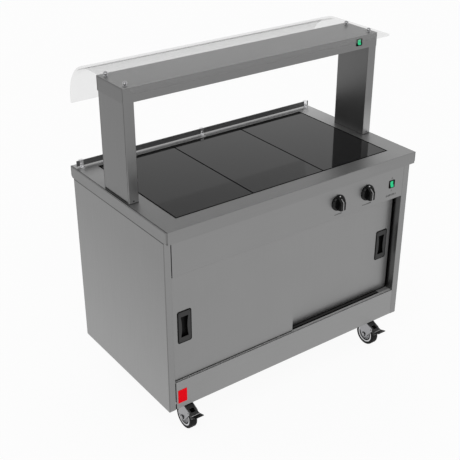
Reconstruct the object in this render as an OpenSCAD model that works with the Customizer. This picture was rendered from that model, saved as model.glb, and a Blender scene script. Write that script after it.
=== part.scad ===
// Mobile hot cupboard: a heated tile worktop on a sliding-door cupboard, with a
// heat-lamp gantry, a bent glass screen and four swivel castors.
// Millimetres, +Z up. The origin is on the floor under the middle of the worktop,
// +X is to the right seen from the operator's side and -Y faces the operator.

/* [Worktop] */
// Width of the worktop's frame at each end of the tiles
end_frame = 84.6; // [76:0.1:130]
// Width of the worktop's frame along each side of the tiles
side_frame = 71; // [63:0.5:100]
// Height of the worktop above the floor
top_h = 900; // [880:5:930]
// Height of the turned-down edge
edge_h = 48; // [40:1:60]
// Width of the fold that returns under the edge
edge_return = 15; // [10:1:16]
// Cut-back at the edge's lower corners
corner_relief = 8; // [4:1:12]
// Thickness of the body's sheet steel
sheet = 1.5; // [1.2:0.1:2]
// Inside radius of the folds
bend_r = 1; // [0.5:0.1:1.5]
// Width of the groove along a welded seam
seam_w = 1.6; // [0.8:0.1:2.4]
// Depth of the groove along a welded seam
seam_dep = 0.8; // [0.4:0.1:1]

/* [Hot top] */
// Number of heated tiles in the row
tile_count = 3; // [2:1:3]
// Length of one tile
tile_len = 326.6; // [300:0.2:328]
// Depth of a tile, front to back
tile_dep = 533; // [500:1:540]
// Thickness of a tile
tile_t = 6; // [4:0.5:8]
// Sealed joint between two tiles
tile_joint = 3; // [2:0.5:6]
// Sealed joint round the field of tiles
tile_edge_seal = 2; // [1:0.5:4]
// Step of the seal below the tiles' top face
seal_step = 0.4; // [0.2:0.1:1]
// How far the field of tiles lies behind the worktop's middle
tile_offset = 3.5; // [0:0.5:10]
// Width of the ledge that carries the tiles' edges
ledge_w = 14; // [10:1:18]
// Depth of the insulated tray under the tiles
tray_dep = 28; // [20:1:36]

/* [Cupboard] */
// Step from the worktop's front edge back to the cupboard's front
front_setback = 24.5; // [15:0.5:30]
// Step from the worktop's rear edge to the cupboard's back
rear_setback = 17; // [16:0.5:30]
// Clear height under the cupboard
floor_gap = 144; // [140:1:160]
// Height of the plinth under the doors
plinth_h = 118; // [100:1:130]
// Width of the front stiles
stile_w = 29.5; // [26:0.5:34]
// Depth of the door jambs
jamb_dep = 63; // [60:1:80]
// Height of the front between the door opening and the worktop
controls_h = 193; // [178:1:218]
// Width of the folds that stiffen the panels
flange_w = 25; // [18:1:30]
// Gap between neighbouring panels
panel_gap = 1; // [0.5:0.1:2]
// Height of the shelf above the cupboard's floor
shelf_up = 216; // [150:5:300]
// Distance from the cupboard's side to the bends of its element
element_in = 227.5; // [180:0.5:320]
// Distance between two neighbouring runs of the element
element_pitch = 44; // [36:1:50]

/* [Doors] */
// Thickness of a door
door_t = 21; // [18:0.5:24]
// Clear gap between the two doors' faces
door_gap = 4; // [3:0.5:8]
// Step from the cupboard's front to the front door
door_setback = 11; // [10:0.5:14]
// Overlap of the doors when both are shut
door_overlap = 15.2; // [10:0.2:30]
// Sheet of the door skins
door_sheet = 1; // [0.8:0.1:1.2]
// Gap under and over a door
door_clear = 3; // [2:0.5:5]
// Distance that the right door stands open
door_ajar = 5.5; // [0:0.5:10]
// Width of a slot in the door tracks
slot_w = 7; // [6:0.5:10]
// Depth of the lower track
track_h = 10; // [8:0.5:12]
// Wall of the tracks
track_wall = 1.5; // [1.2:0.1:2]
// Play of a glide in its slot, on each side
glide_play = 0.5; // [0.3:0.1:0.8]
// Gap between a glide and the bottom of its slot
glide_gap = 0.3; // [0.2:0.1:0.6]
// Length of a glide
glide_len = 40; // [25:5:60]
// Distance from a door's edge to its glide
glide_in = 60; // [40:5:90]

/* [Door handles] */
// Width of the handle's plate
pull_w = 60; // [56:1:70]
// Height of the handle's plate
pull_h = 134; // [115:1:140]
// Radius of the corners of the handle's plate
pull_r = 8; // [4:0.5:12]
// Distance from the door's edge to the middle of the handle
pull_inset = 51.5; // [45:0.5:80]
// Height of the handle's middle above the door's lower edge
pull_up = 222; // [180:1:260]
// How far the plate stands proud of the door
pull_proud = 1.8; // [1.2:0.1:2.5]
// Depth of the finger cup
pull_cup = 14; // [10:0.5:16]
// Height of the finger opening
grip_h = 86; // [60:1:96]
// Width of the finger opening at its ends
grip_w = 33; // [26:0.5:36]
// Width of the finger opening at its waist
grip_waist = 24; // [18:0.5:25]

/* [Controls] */
// Distance from the cupboard's side to its knob
heat_knob_in = 374.5; // [340:0.5:400]
// Distance from the cupboard's side to the hot top's knob
top_knob_in = 223.5; // [190:0.5:260]
// Distance from the cupboard's side to the switch
switch_in = 91.5; // [70:0.5:120]
// Height of the knobs and the switch above the door opening
controls_up = 69; // [60:1:75]
// Radius of a knob's skirt
knob_r = 32.5; // [28:0.5:34]
// Depth of a knob's skirt
knob_skirt = 9.5; // [8:0.5:12]
// Whole depth of a knob
knob_dep = 30; // [26:0.5:34]
// Width of a knob's grip bar
knob_bar = 12; // [10:0.5:16]
// Radius of a knob's spindle
spindle_r = 3; // [2.5:0.1:3.5]
// Width of a switch bezel
bezel_w = 29; // [27:0.5:32]
// Height of the lower switch's bezel
bezel_h = 32.5; // [31:0.5:34]
// Height of the gantry switch's bezel
gantry_bezel_h = 27; // [26:0.5:30]
// How far a bezel stands proud
bezel_t = 2; // [1.5:0.1:3]
// Angle through which a rocker tips
rocker_swing = 20; // [14:1:24]

/* [Gantry] */
// Width of an upright
upright_w = 40; // [34:1:50]
// Depth of an upright
upright_dep = 172; // [150:1:200]
// Step from the worktop's end to the upright
upright_inset = 7.5; // [4:0.5:12]
// Distance from the worktop's front edge to the gantry's front face
gantry_in = 251.5; // [230:0.5:270]
// Distance from the canopy's end to its switch
gantry_switch_in = 93; // [70:1:140]
// Clear height under the canopy
serving_gap = 366; // [340:2:400]
// Height of the canopy
canopy_h = 54; // [48:1:64]
// Depth of the canopy
canopy_dep = 177; // [172:1:200]
// Gap that shows at the foot of an upright's outer face
foot_gap = 9; // [5:0.5:12]
// Thickness of an upright's foot plate
foot_t = 3; // [2:0.5:4]
// Radius of a lamp tube
lamp_r = 5; // [4:0.5:7]

/* [Glass screen] */
// Thickness of the glass
glass_t = 8; // [6:0.5:10]
// Step from the canopy's end to the glass's end
glass_inset = 3; // [0:0.5:20]
// How far the glass reaches in front of the canopy
glass_front = 69; // [40:1:90]
// How far the glass runs flat behind the canopy
glass_behind = 66.5; // [40:0.5:75]
// Inside radius of the bend
glass_bend = 146; // [100:1:150]
// Straight drop below the bend
glass_drop = 17.5; // [5:0.5:60]
// Pad between the glass and the canopy
glass_pad = 0.5; // [0.3:0.1:1.5]
// Distance from the canopy's end to a stud
stud_in_x = 23; // [18:0.5:30]
// Distance from the canopy's front or rear face to a stud
stud_in_y = 24.5; // [18:0.5:40]
// Radius of a stud's domed head
stud_head_r = 9; // [7:0.5:11]
// Height of a stud's domed head
stud_dome = 6.5; // [4:0.5:8]
// Radius of a stud's shank
stud_r = 4; // [3:0.5:4.5]

/* [Rear rail] */
// Thickness of the rear rail
rail_t = 4; // [3:0.5:6]
// Height of the rear rail
rail_h = 21; // [16:1:40]
// Gap between the rail and the worktop
rail_gap = 5; // [3:0.5:10]
// Distance from the worktop's rear edge to the rail's front face
rail_in = 35.5; // [31.5:0.5:39.5]

/* [Castors] */
// Radius of a wheel
wheel_r = 50; // [46:0.5:52]
// Width of a tyre
tyre_w = 30; // [26:1:32]
// Thickness of a tyre's tread
tyre_t = 11; // [8:0.5:14]
// Offset of the axle behind the swivel pin
trail = 38; // [30:1:42]
// Distance from the worktop's end to the swivel pin
castor_in_x = 106.7; // [100:0.5:130]
// Distance from the cupboard's front to the front swivel pins
castor_in_y = 88; // [83:1:100]
// Thickness of a fork's legs
fork_t = 3; // [2.5:0.1:4]
// Gap between a fork's leg and the hub
fork_gap = 0.5; // [0.3:0.1:1]
// Radius of the axle bolts and studs
axle_r = 4; // [3.5:0.1:5]
// Radius of the swivel pin
kingpin_r = 6; // [5:0.5:8]
// Radial play of everything that turns on a pin
running_play = 0.05; // [0.03:0.01:0.08]
// Gap between faces that turn past each other
turning_gap = 0.3; // [0.2:0.1:0.6]
// Angle through which a brake pedal tips
pedal_swing = 12; // [8:1:14]

/* [Hidden] */
$fn = 48;

// Planes that the body is built between
field_len = tile_count * tile_len + (tile_count - 1) * tile_joint;
top_len = field_len + 2 * end_frame;
top_dep = tile_dep + 2 * side_frame;
body_x = top_len / 2;
front_y = -top_dep / 2 + front_setback;
rear_y = top_dep / 2 - rear_setback;
top_under = top_h - sheet;
edge_z = top_h - edge_h;
floor_z = floor_gap + plinth_h;
open_x = body_x - stile_w;
open_top = top_h - controls_h;
jamb_y = front_y + jamb_dep;
half = sheet / 2;
outer_r = bend_r + sheet;
seam_step = 0.3;
seam_in = outer_r + seam_step;

// Field of tiles and the frame under it
cut_x = field_len / 2 + tile_edge_seal;
cut_y = tile_dep / 2 + tile_edge_seal;
tile_pitch = tile_len + tile_joint;
tile_under = top_h - tile_t;
seal_bed = 1;
ledge_top = tile_under - seal_bed;
ledge_under = ledge_top - sheet;
crossbar_w = 24;
heater_t = 2;
heater_inset = 18;
sensor_r = 14;
sensor_t = 5;
tray_wall_in = 6;

// Doors and tracks
slide_pitch = door_t + door_gap;
door_w = (2 * open_x - 2 * panel_gap + door_overlap) / 2;
door_bottom = floor_z + door_clear;
door_top = open_top + 5;
door_h = door_top - door_bottom;
left_door_x = -open_x + panel_gap;
right_door_x = open_x - panel_gap - door_ajar - door_w;
front_door_y = front_y + door_setback;
rear_door_y = front_door_y + slide_pitch;
track_front = front_door_y + door_t / 2 - slide_pitch / 2;
track_fit = bend_r + 0.2;
track_floor = floor_z - track_h;
track_x = open_x - panel_gap;
slot_end = 1.5;
slot_x = track_x - glide_in + slot_end;
upper_track_h = 14;
upper_lip = 4;
roof_under = door_top + upper_lip + upper_track_h;
upper_grip = 3.3;
left_pull_x = left_door_x + pull_inset;
right_pull_x = right_door_x + door_w - pull_inset;
pull_lap = 4;
pull_fit = 0.3;
pull_wall = 2;
lower_glide_h = door_bottom - track_floor - track_wall - glide_gap;
back_return = flange_w - 4;
liner_fold = 8;
liner_back_y = rear_y - back_return - liner_fold;

// Cupboard element and cable gland
element_r = 4;
element_bend = element_pitch / 2;
element_half = 3 * element_bend;
element_up = 22;
element_z = floor_z + element_up;
element_run = 2 * (body_x - element_in);
element_clip_in = 150;
gland_in = 247.5;
gland_x = body_x - gland_in;
gland_hole_r = 10.3;
gland_bore_r = 5.5;

// Controls
heat_knob_x = body_x - heat_knob_in;
top_knob_x = body_x - top_knob_in;
switch_x = body_x - switch_in;
controls_z = open_top + controls_up;
panel_back_y = front_y + sheet;
bush_r = 5;
bush_hole_r = 5.2;
bush_nut_r = 8;
bush_nut_t = 2.5;
knob_stand = 0.5;
rocker_fit = 0.4;
snap_fit = 0.2;
snap_lip = 1.75;
pivot_r = 1.5;
pivot_in = 2;
housing_dep = 22;

// Gantry and glass
gantry_front = -top_dep / 2 + gantry_in;
upright_out = body_x - upright_inset;
upright_y = gantry_front + upright_dep / 2;
canopy_y = gantry_front + canopy_dep / 2;
canopy_under = top_h + serving_gap;
canopy_top = canopy_under + canopy_h;
gantry_switch_x = upright_out - gantry_switch_in;
gantry_switch_up = 28.5;
gantry_switch_z = canopy_under + gantry_switch_up;
lamp_slot_end = 12;
lamp_lip = 18;
glass_under = canopy_top + glass_pad;
glass_top = glass_under + glass_t;
glass_len = 2 * (upright_out - glass_inset);
glass_front_y = gantry_front - glass_front;
bend_start = gantry_front + canopy_dep + glass_behind;
bend_z = glass_under - glass_bend;
stud_x = upright_out - stud_in_x;
stud_ys = [gantry_front + stud_in_y, gantry_front + canopy_dep - stud_in_y];
lamp_z = canopy_under + 25;
rail_end = 9.5;
rail_y = top_dep / 2 - rail_in;
clip_in = 27.5;

// Castors
castor_x = body_x - castor_in_x;
castor_y = -front_y - castor_in_y;
rail_web_z = floor_gap + sheet;
rail_sheet = 2.5;
rail_half = 52;
rail_up = 34;
plate_t = 4;
plate_z = rail_web_z - plate_t;
plate_edge = 12.5;
race_r = 28;
race_z = wheel_r + 78;
head_top = race_z - turning_gap;
head_under = wheel_r + 68;
leg_in = tyre_w / 2 + 2;
leg_out = leg_in + fork_t;
hub_r = wheel_r - tyre_t;
bolt_dx = 40;
bolt_dy = 30;
bolt_hole_r = axle_r + 0.25;
pedal_y = -39;
pedal_z = wheel_r + 40;
pedal_pin_r = 3;
pedal_ear_r = 8;
axle_boss_r = 14;
neck_r = 19;
head_back = -27;
head_front = 17;
brake_gap = 1.5;

// Direction of an angle in a plane
function unit(a) = [cos(a), sin(a)];

// Solid between two corners
module block(lo, hi) translate(lo) cube(hi - lo);

// Section in the YZ plane, drawn out along X between two places
module along_x(x0, x1)
    translate([x0, 0, 0]) rotate([90, 0, 90]) linear_extrude(x1 - x0) children();

// Section in the XZ plane, drawn out along Y between two places
module along_y(y0, y1)
    translate([0, y1, 0]) rotate([90, 0, 0]) linear_extrude(y1 - y0) children();

// Plan in the XY plane, drawn out along Z between two heights
module along_z(z0, z1)
    translate([0, 0, z0]) linear_extrude(z1 - z0) children();

// Rectangle with round corners about the origin
module round_rect(w, h, r) {
    square([w - 2 * r, h], center = true);
    square([w, h - 2 * r], center = true);
    for (x = [-1, 1], y = [-1, 1])
        translate([x * (w / 2 - r), y * (h / 2 - r)]) circle(r);
}

// Straight flat of a folded section, between two ends of its middle line
module flat(a, b, t) {
    lo = [min(a.x, b.x), min(a.y, b.y)];
    hi = [max(a.x, b.x), max(a.y, b.y)];
    if (a.x == b.x) translate([lo.x - t / 2, lo.y]) square([t, hi.y - lo.y]);
    else translate([lo.x, lo.y - t / 2]) square([hi.x - lo.x, t]);
}

// Right-angle bend of a folded section at p, entered along d_in and left along d_out
module bend(p, d_in, d_out, t, r) {
    c = p + (r + t / 2) * (d_out - d_in);
    far = (r + t) * (d_in - d_out);
    translate(c) intersection() {
        difference() {
            circle(r + t);
            circle(r);
        }
        translate([min(0, far.x), min(0, far.y)]) square([abs(far.x), abs(far.y)]);
    }
}

// Folded sheet section along a middle line whose flats meet at right angles
module folded(path, t = sheet, r = bend_r) {
    last = len(path) - 1;
    for (i = [0:last - 1]) {
        d = path[i + 1] - path[i];
        u = d / norm(d);
        a = i == 0 ? path[i] : path[i] + u * (r + t / 2);
        b = i == last - 1 ? path[i + 1] : path[i + 1] - u * (r + t / 2);
        flat(a, b, t);
    }
    for (i = [1:last - 1]) {
        d_in = path[i] - path[i - 1];
        d_out = path[i + 1] - path[i];
        bend(path[i], d_in / norm(d_in), d_out / norm(d_out), t, r);
    }
}

// Box whose long edges along X and Y are rounded on the top face
module soft_top_box(w, d, z0, z1, r) {
    intersection() {
        along_x(-w / 2, w / 2) arch_section(d, z0, z1, r);
        along_y(-d / 2, d / 2) arch_section(w, z0, z1, r);
    }
}

// Rectangle standing on z0 with its two upper corners rounded
module arch_section(w, z0, z1, r) {
    translate([-w / 2, z0]) square([w, z1 - z0 - r]);
    translate([-w / 2 + r, z0]) square([w - 2 * r, z1 - z0]);
    for (s = [-1, 1]) translate([s * (w / 2 - r), z1 - r]) circle(r);
}

// Two discs joined by straight edges that lie a hair inside their outer tangents
module link(a, ra, b, rb) {
    hair = 0.05;
    d = b - a;
    dir = atan2(d.y, d.x);
    lean = acos((ra - rb) / norm(d));
    polygon([
        a + (ra - hair) * unit(dir + lean), b + (rb - hair) * unit(dir + lean),
        b + (rb - hair) * unit(dir - lean), a + (ra - hair) * unit(dir - lean)
    ]);
    translate(a) circle(ra);
    translate(b) circle(rb);
}

// Groove of the seam round a welded end: along its top edge and down its two sides
module end_seam(d, z0, z1) {
    w = d - 2 * seam_in;
    difference() {
        translate([-w / 2, z0 - 1]) square([w, z1 - seam_in - z0 + 1]);
        translate([-w / 2 + seam_w, z0 - 2]) square([w - 2 * seam_w, z1 - seam_in - seam_w - z0 + 2]);
    }
}

// Middle of each tile along X
function tile_xs() = [for (i = [0:tile_count - 1]) (i - (tile_count - 1) / 2) * tile_pitch];

// Middle of each joint between two tiles
function joint_xs() = [for (i = [1:tile_count - 1]) (i - tile_count / 2) * tile_pitch];

// Worktop: one folded sheet with welded corners, the tile cut-out and the ledge under it
module worktop() color([0.56, 0.56, 0.56]) {
    difference() {
        soft_top_box(top_len, top_dep, edge_z, top_h, outer_r);
        soft_top_box(top_len - 2 * sheet, top_dep - 2 * sheet, edge_z + sheet, top_under, bend_r);
        block([-body_x + edge_return, -top_dep / 2 + edge_return, edge_z - 1],
              [body_x - edge_return, top_dep / 2 - edge_return, edge_z + 2 * sheet]);
        block([-cut_x, tile_offset - cut_y, edge_z], [cut_x, tile_offset + cut_y, top_h + 1]);
        for (x = [-1, 1], y = [-1, 1])
            translate([x * body_x, y * top_dep / 2, edge_z]) rotate([45, 0, 0])
                cube([3 * sheet, corner_relief * sqrt(2), corner_relief * sqrt(2)], center = true);
        for (x = [-body_x, body_x])
            along_x(x - seam_dep, x + seam_dep) end_seam(top_dep, edge_z, top_h);
    }
    difference() {
        block([-cut_x - sheet, tile_offset - cut_y - sheet, ledge_under],
              [cut_x + sheet, tile_offset + cut_y + sheet, top_under]);
        block([-cut_x, tile_offset - cut_y, ledge_top], [cut_x, tile_offset + cut_y, top_h]);
        tile_bays(ledge_under - 1, ledge_top + 1);
    }
}

// Openings through the ledge, one under each tile
module tile_bays(z0, z1) {
    edges = concat([-cut_x + ledge_w - crossbar_w / 2], joint_xs(), [cut_x - ledge_w + crossbar_w / 2]);
    for (i = [0:tile_count - 1])
        block([edges[i] + crossbar_w / 2, tile_offset - cut_y + ledge_w, z0],
              [edges[i + 1] - crossbar_w / 2, tile_offset + cut_y - ledge_w, z1]);
}

// Heated tiles: black glass, flush with the worktop
module hot_tiles() color([0.16, 0.16, 0.17])
    for (x = tile_xs())
        translate([x, tile_offset, 0]) along_z(tile_under, top_h) square([tile_len, tile_dep], center = true);

// Silicone seal: a bed under the tiles' edges and the joints between them
module tile_seal() color([0.07, 0.07, 0.07])
    difference() {
        block([-cut_x, tile_offset - cut_y, ledge_top], [cut_x, tile_offset + cut_y, top_h - seal_step]);
        for (x = tile_xs())
            translate([x, tile_offset, 0])
                along_z(tile_under, top_h) square([tile_len, tile_dep], center = true);
        tile_bays(ledge_top - 1, tile_under + 1);
    }

// Heater mats bonded under the tiles, each with its sensor boss
module tile_heaters() color([0.62, 0.32, 0.22])
    for (x = tile_xs()) translate([x, tile_offset, 0]) {
        along_z(tile_under - heater_t, tile_under)
            round_rect(tile_len - 2 * heater_inset, tile_dep - 2 * heater_inset - 4, 12);
        along_z(tile_under - heater_t - sensor_t, tile_under - heater_t) circle(sensor_r);
    }

// Insulated tray that closes the heaters from below
module heater_tray() color([0.66, 0.67, 0.68]) {
    wall_x = cut_x - ledge_w - tray_wall_in;
    wall_y = cut_y - ledge_w - tray_wall_in;
    z0 = ledge_under - tray_dep;
    translate([0, tile_offset, 0]) {
        difference() {
            block([-wall_x, -wall_y, z0], [wall_x, wall_y, ledge_under]);
            block([-wall_x + sheet, -wall_y + sheet, z0 + sheet],
                  [wall_x - sheet, wall_y - sheet, ledge_under + 1]);
        }
        difference() {
            block([-cut_x, -cut_y, ledge_under - sheet], [cut_x, cut_y, ledge_under]);
            block([-wall_x + half, -wall_y + half, z0],
                  [wall_x - half, wall_y - half, ledge_under + 1]);
        }
    }
}

// One side panel: outer skin, front stile, door jamb, rear fold and the two end folds
module side_panel() {
    difference() {
        along_z(floor_gap, edge_z) folded([
            [open_x + half, jamb_y], [open_x + half, front_y + half],
            [body_x - half, front_y + half], [body_x - half, rear_y - half],
            [open_x, rear_y - half]
        ]);
        block([open_x - 1, -castor_y - rail_half - 2 * rail_sheet, floor_gap - 1],
              [open_x + 2 * sheet, jamb_y + 1, rail_web_z + rail_up + 2 * rail_sheet]);
    }
    along_y(front_y + half, rear_y - half) folded([
        [body_x - flange_w, floor_gap + half], [body_x - half, floor_gap + half],
        [body_x - half, edge_z - half], [body_x - flange_w, edge_z - half]
    ]);
}

// Both side panels, a left and a right hand of the same pressing
module side_panels() color([0.56, 0.56, 0.56]) {
    side_panel();
    mirror([1, 0, 0]) side_panel();
}

// Customer-side panel between the side panels' rear folds
module back_panel() color([0.56, 0.56, 0.56]) {
    edge_x = open_x - panel_gap - half;
    along_z(floor_gap, top_under) folded([
        [-edge_x, rear_y - back_return], [-edge_x, rear_y - half],
        [edge_x, rear_y - half], [edge_x, rear_y - back_return]
    ]);
    along_x(-edge_x, edge_x) folded([
        [rear_y - flange_w, floor_gap + half], [rear_y - half, floor_gap + half],
        [rear_y - half, top_under - half], [rear_y - flange_w, top_under - half]
    ]);
}

// Underframe: two castor rails joined by two cross members
module chassis() color([0.6, 0.61, 0.62]) {
    rail_x = body_x - sheet - panel_gap;
    cross_in = 260.8;
    cross_x = castor_x - cross_in;
    cross_half = 30;
    z = rail_web_z + rail_sheet / 2;
    difference() {
        union() {
            for (s = [-1, 1]) translate([0, s * castor_y, 0]) along_x(-rail_x, rail_x) folded([
                [-rail_half, z + rail_up], [-rail_half, z], [rail_half, z], [rail_half, z + rail_up]
            ], rail_sheet);
            for (s = [-1, 1]) translate([s * cross_x, 0, 0])
                along_y(-castor_y + rail_half, castor_y - rail_half) folded([
                    [-cross_half, z + rail_up], [-cross_half, z], [cross_half, z], [cross_half, z + rail_up]
                ], rail_sheet);
        }
        for (sx = [-1, 1], sy = [-1, 1], dx = [-1, 1], dy = [-1, 1])
            translate([sx * castor_x + dx * bolt_dx, sy * castor_y + dy * bolt_dy, rail_web_z - 1])
                cylinder(h = rail_sheet + 2, r = bolt_hole_r);
        translate([gland_x, castor_y, rail_web_z - 1]) cylinder(h = rail_sheet + 2, r = gland_hole_r);
    }
}

// Floor of the cupboard, stepped down at the front to take the lower track
module base_panel() color([0.56, 0.56, 0.56]) {
    step_z = track_floor - half;
    step_front = track_front - track_fit - half;
    step_rear = track_front + 2 * slide_pitch + track_fit + half;
    difference() {
        along_x(-open_x + panel_gap / 2, open_x - panel_gap / 2) folded([
            [step_front, step_z - flange_w], [step_front, step_z], [step_rear, step_z],
            [step_rear, floor_z - half], [liner_back_y - half - panel_gap / 2, floor_z - half],
            [liner_back_y - half - panel_gap / 2, floor_z - flange_w]
        ]);
        for (y = [-1, 1])
            translate([-element_run / 2, y * element_half, floor_z - 2 * sheet])
                cylinder(h = 3 * sheet, r = element_r + 1.5);
    }
}

// Front plinth with its sill folded back to the track
module plinth() color([0.56, 0.56, 0.56]) {
    step_front = track_front - track_fit - sheet;
    along_x(-open_x + panel_gap, open_x - panel_gap) folded([
        [front_y + flange_w, floor_gap + half], [front_y + half, floor_gap + half],
        [front_y + half, floor_z - half], [step_front - half, floor_z - half],
        [step_front - half, floor_z - 12]
    ]);
}

// Control panel with its spindle holes and its switch cut-out
module control_panel() color([0.56, 0.56, 0.56])
    difference() {
        along_x(-open_x + panel_gap, open_x - panel_gap) folded([
            [front_door_y - 2, open_top + half], [front_y + half, open_top + half],
            [front_y + half, top_under - half], [front_y + edge_return, top_under - half]
        ]);
        for (x = [heat_knob_x, top_knob_x])
            translate([x, front_y + 2 * sheet, controls_z]) rotate([90, 0, 0])
                cylinder(h = 3 * sheet, r = bush_hole_r);
        translate([switch_x, 0, controls_z]) along_y(front_y - 1, panel_back_y + 1)
            switch_cut(bezel_w, bezel_h);
    }

// Roof of the cupboard, which also carries the upper track and the wiring
module compartment_roof() color([0.62, 0.63, 0.64]) {
    z = roof_under + half;
    front = track_front - 1;
    back = liner_back_y - panel_gap / 2;
    along_x(-open_x + panel_gap / 2, open_x - panel_gap / 2) folded([
        [front + half, z + 12], [front + half, z], [back - half, z], [back - half, z + flange_w]
    ]);
}

// Inner walls of the cupboard: two sides and a back
module cupboard_liner() color([0.6, 0.6, 0.61]) {
    for (s = [0, 1]) mirror([s, 0, 0]) along_z(floor_z, roof_under) folded([
        [open_x + flange_w - 8, jamb_y + panel_gap + half], [open_x + half, jamb_y + panel_gap + half],
        [open_x + half, liner_back_y - half], [open_x + flange_w - 8, liner_back_y - half]
    ]);
    along_x(-open_x + panel_gap, open_x - panel_gap) folded([
        [liner_back_y + liner_fold, floor_z + half], [liner_back_y + half, floor_z + half],
        [liner_back_y + half, roof_under - half], [liner_back_y + liner_fold, roof_under - half]
    ]);
}

// Lift-out shelf with slots that let the heat rise
module shelf() color([0.6, 0.6, 0.61]) {
    shelf_z = floor_z + shelf_up;
    shelf_x = open_x - sheet - 1;
    shelf_front = jamb_y + 8;
    shelf_back = liner_back_y - 6;
    slot_rows = 3;
    slot_cols = 8;
    slot_len = 70;
    slot_h = 10;
    front_fold = 24;
    rear_fold = 20;
    lip = 12;
    difference() {
        along_x(-shelf_x, shelf_x) folded([
            [shelf_front + lip, shelf_z - front_fold], [shelf_front + half, shelf_z - front_fold],
            [shelf_front + half, shelf_z + half], [shelf_back - half, shelf_z + half],
            [shelf_back - half, shelf_z + rear_fold]
        ]);
        for (i = [0:slot_cols - 1], j = [0:slot_rows - 1])
            translate([
                (i - (slot_cols - 1) / 2) * shelf_x * 2 / (slot_cols + 1),
                (shelf_front + shelf_back) / 2 + (j - 1) * (shelf_back - shelf_front) / 4,
                shelf_z - 1
            ]) linear_extrude(2 * sheet + 1) round_rect(slot_len, slot_h, slot_h / 2 - 0.1);
    }
}

// Angle brackets that carry the shelf on the side walls
module shelf_supports() color([0.6, 0.6, 0.61]) {
    shelf_z = floor_z + shelf_up;
    for (s = [0, 1]) mirror([s, 0, 0]) along_y(jamb_y + 14, liner_back_y - 14) folded([
        [open_x - half, shelf_z + 18], [open_x - half, shelf_z - half], [open_x - 24, shelf_z - half]
    ]);
}

// One track: a flat-topped section, hollow between and beside its two slots
module track_section(h) {
    web = (slide_pitch - slot_w) / 2 - track_wall;
    difference() {
        square([2 * slide_pitch, h]);
        translate([slide_pitch - web, track_wall]) square([2 * web, h - 2 * track_wall]);
        for (y = [track_wall, 2 * slide_pitch - web])
            translate([y, track_wall]) square([web - track_wall, h - 2 * track_wall]);
    }
}

// One track at its place, with a slot for each door that stops short of the jambs
module door_track(h)
    difference() {
        along_x(-track_x, track_x) track_section(h);
        for (i = [0.5, 1.5])
            block([-slot_x, i * slide_pitch - slot_w / 2, track_wall],
                  [slot_x, i * slide_pitch + slot_w / 2, h + 1]);
    }

// Lower and upper door tracks
module door_tracks() color([0.5, 0.5, 0.51]) {
    translate([0, track_front, track_floor]) door_track(track_h);
    translate([0, track_front, roof_under]) mirror([0, 0, 1]) door_track(upper_track_h);
}

// Outer skin of a door, folded back on four sides, with the handle's cut-out
module door_outer(x0, y0, pull_x) color([0.56, 0.56, 0.56]) {
    s = door_sheet;
    difference() {
        block([x0, y0, door_bottom], [x0 + door_w, y0 + door_t, door_top]);
        block([x0 + s, y0 + s, door_bottom + s], [x0 + door_w - s, y0 + door_t + 1, door_top - s]);
        translate([pull_x, 0, door_bottom + pull_up])
            along_y(y0 - 1, y0 + 2 * s) pull_outline(pull_lap);
    }
    for (z = [door_bottom + s, door_top - s - 12])
        block([x0 + s, y0 + door_t - 2 * s - 0.6, z], [x0 + door_w - s, y0 + door_t - s - 0.6, z + 12]);
}

// Inner skin of a door: a shallow pan set inside the outer skin's folds
module door_inner(x0, y0) color([0.6, 0.6, 0.61]) {
    s = door_sheet;
    fit = 0.3;
    difference() {
        block([x0 + s + fit, y0 + door_t - s, door_bottom + s + fit],
              [x0 + door_w - s - fit, y0 + door_t, door_top - s - fit]);
        for (z = [door_bottom + door_h * 0.3, door_bottom + door_h * 0.7])
            translate([x0 + door_w / 2, 0, z]) along_y(y0 + door_t - s / 2, y0 + door_t + 1)
                round_rect(door_w - 120, 8, 3.9);
    }
}

// Finger opening of a handle: tall, with a drawn-in waist
module hourglass() {
    sag = (grip_w - grip_waist) / 2;
    arc_r = (grip_h * grip_h / 4 + sag * sag) / (2 * sag);
    difference() {
        round_rect(grip_w, grip_h, 3);
        for (s = [-1, 1]) translate([s * (grip_waist / 2 + arc_r), 0]) circle(arc_r, $fn = 180);
    }
}

// Outline of a handle, drawn in all round by a step
module pull_outline(step) round_rect(pull_w - 2 * step, pull_h - 2 * step, pull_r - step);

// Flush pull: a stepped plate with a waisted opening into a moulded finger cup
module pull_handle(pull_x, y0) color([0.13, 0.13, 0.13]) {
    rim_step = 1.5;
    screw_in = 7;
    screw_r = 2.2;
    translate([pull_x, 0, door_bottom + pull_up])
        difference() {
            union() {
                along_y(y0 - pull_proud * 0.6, y0) pull_outline(0);
                along_y(y0 - pull_proud, y0) pull_outline(rim_step);
                along_y(y0, y0 + pull_cup) pull_outline(pull_lap + pull_fit);
            }
            along_y(y0 + pull_wall, y0 + pull_cup - pull_wall) pull_outline(pull_lap + pull_fit + pull_wall);
            along_y(y0 - pull_proud - 1, y0 + pull_wall + 1) hourglass();
            for (x = [-1, 1], z = [-1, 1])
                translate([x * (pull_w / 2 - screw_in), y0 - pull_proud + 1, z * (pull_h / 2 - screw_in)])
                    rotate([90, 0, 0]) cylinder(h = 2, r = screw_r);
        }
}

// Nylon glides on a door: two in the lower slot and two in the upper
module door_glides(x0, y0) color([0.85, 0.85, 0.83]) {
    mid = y0 + door_t / 2;
    half_w = slot_w / 2 - glide_play;
    for (x = [x0 + glide_in, x0 + door_w - glide_in - glide_len]) {
        block([x, mid - half_w, door_bottom - lower_glide_h], [x + glide_len, mid + half_w, door_bottom]);
        block([x, mid - half_w, door_top], [x + glide_len, mid + half_w, door_top + upper_lip + upper_grip]);
    }
}

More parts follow.
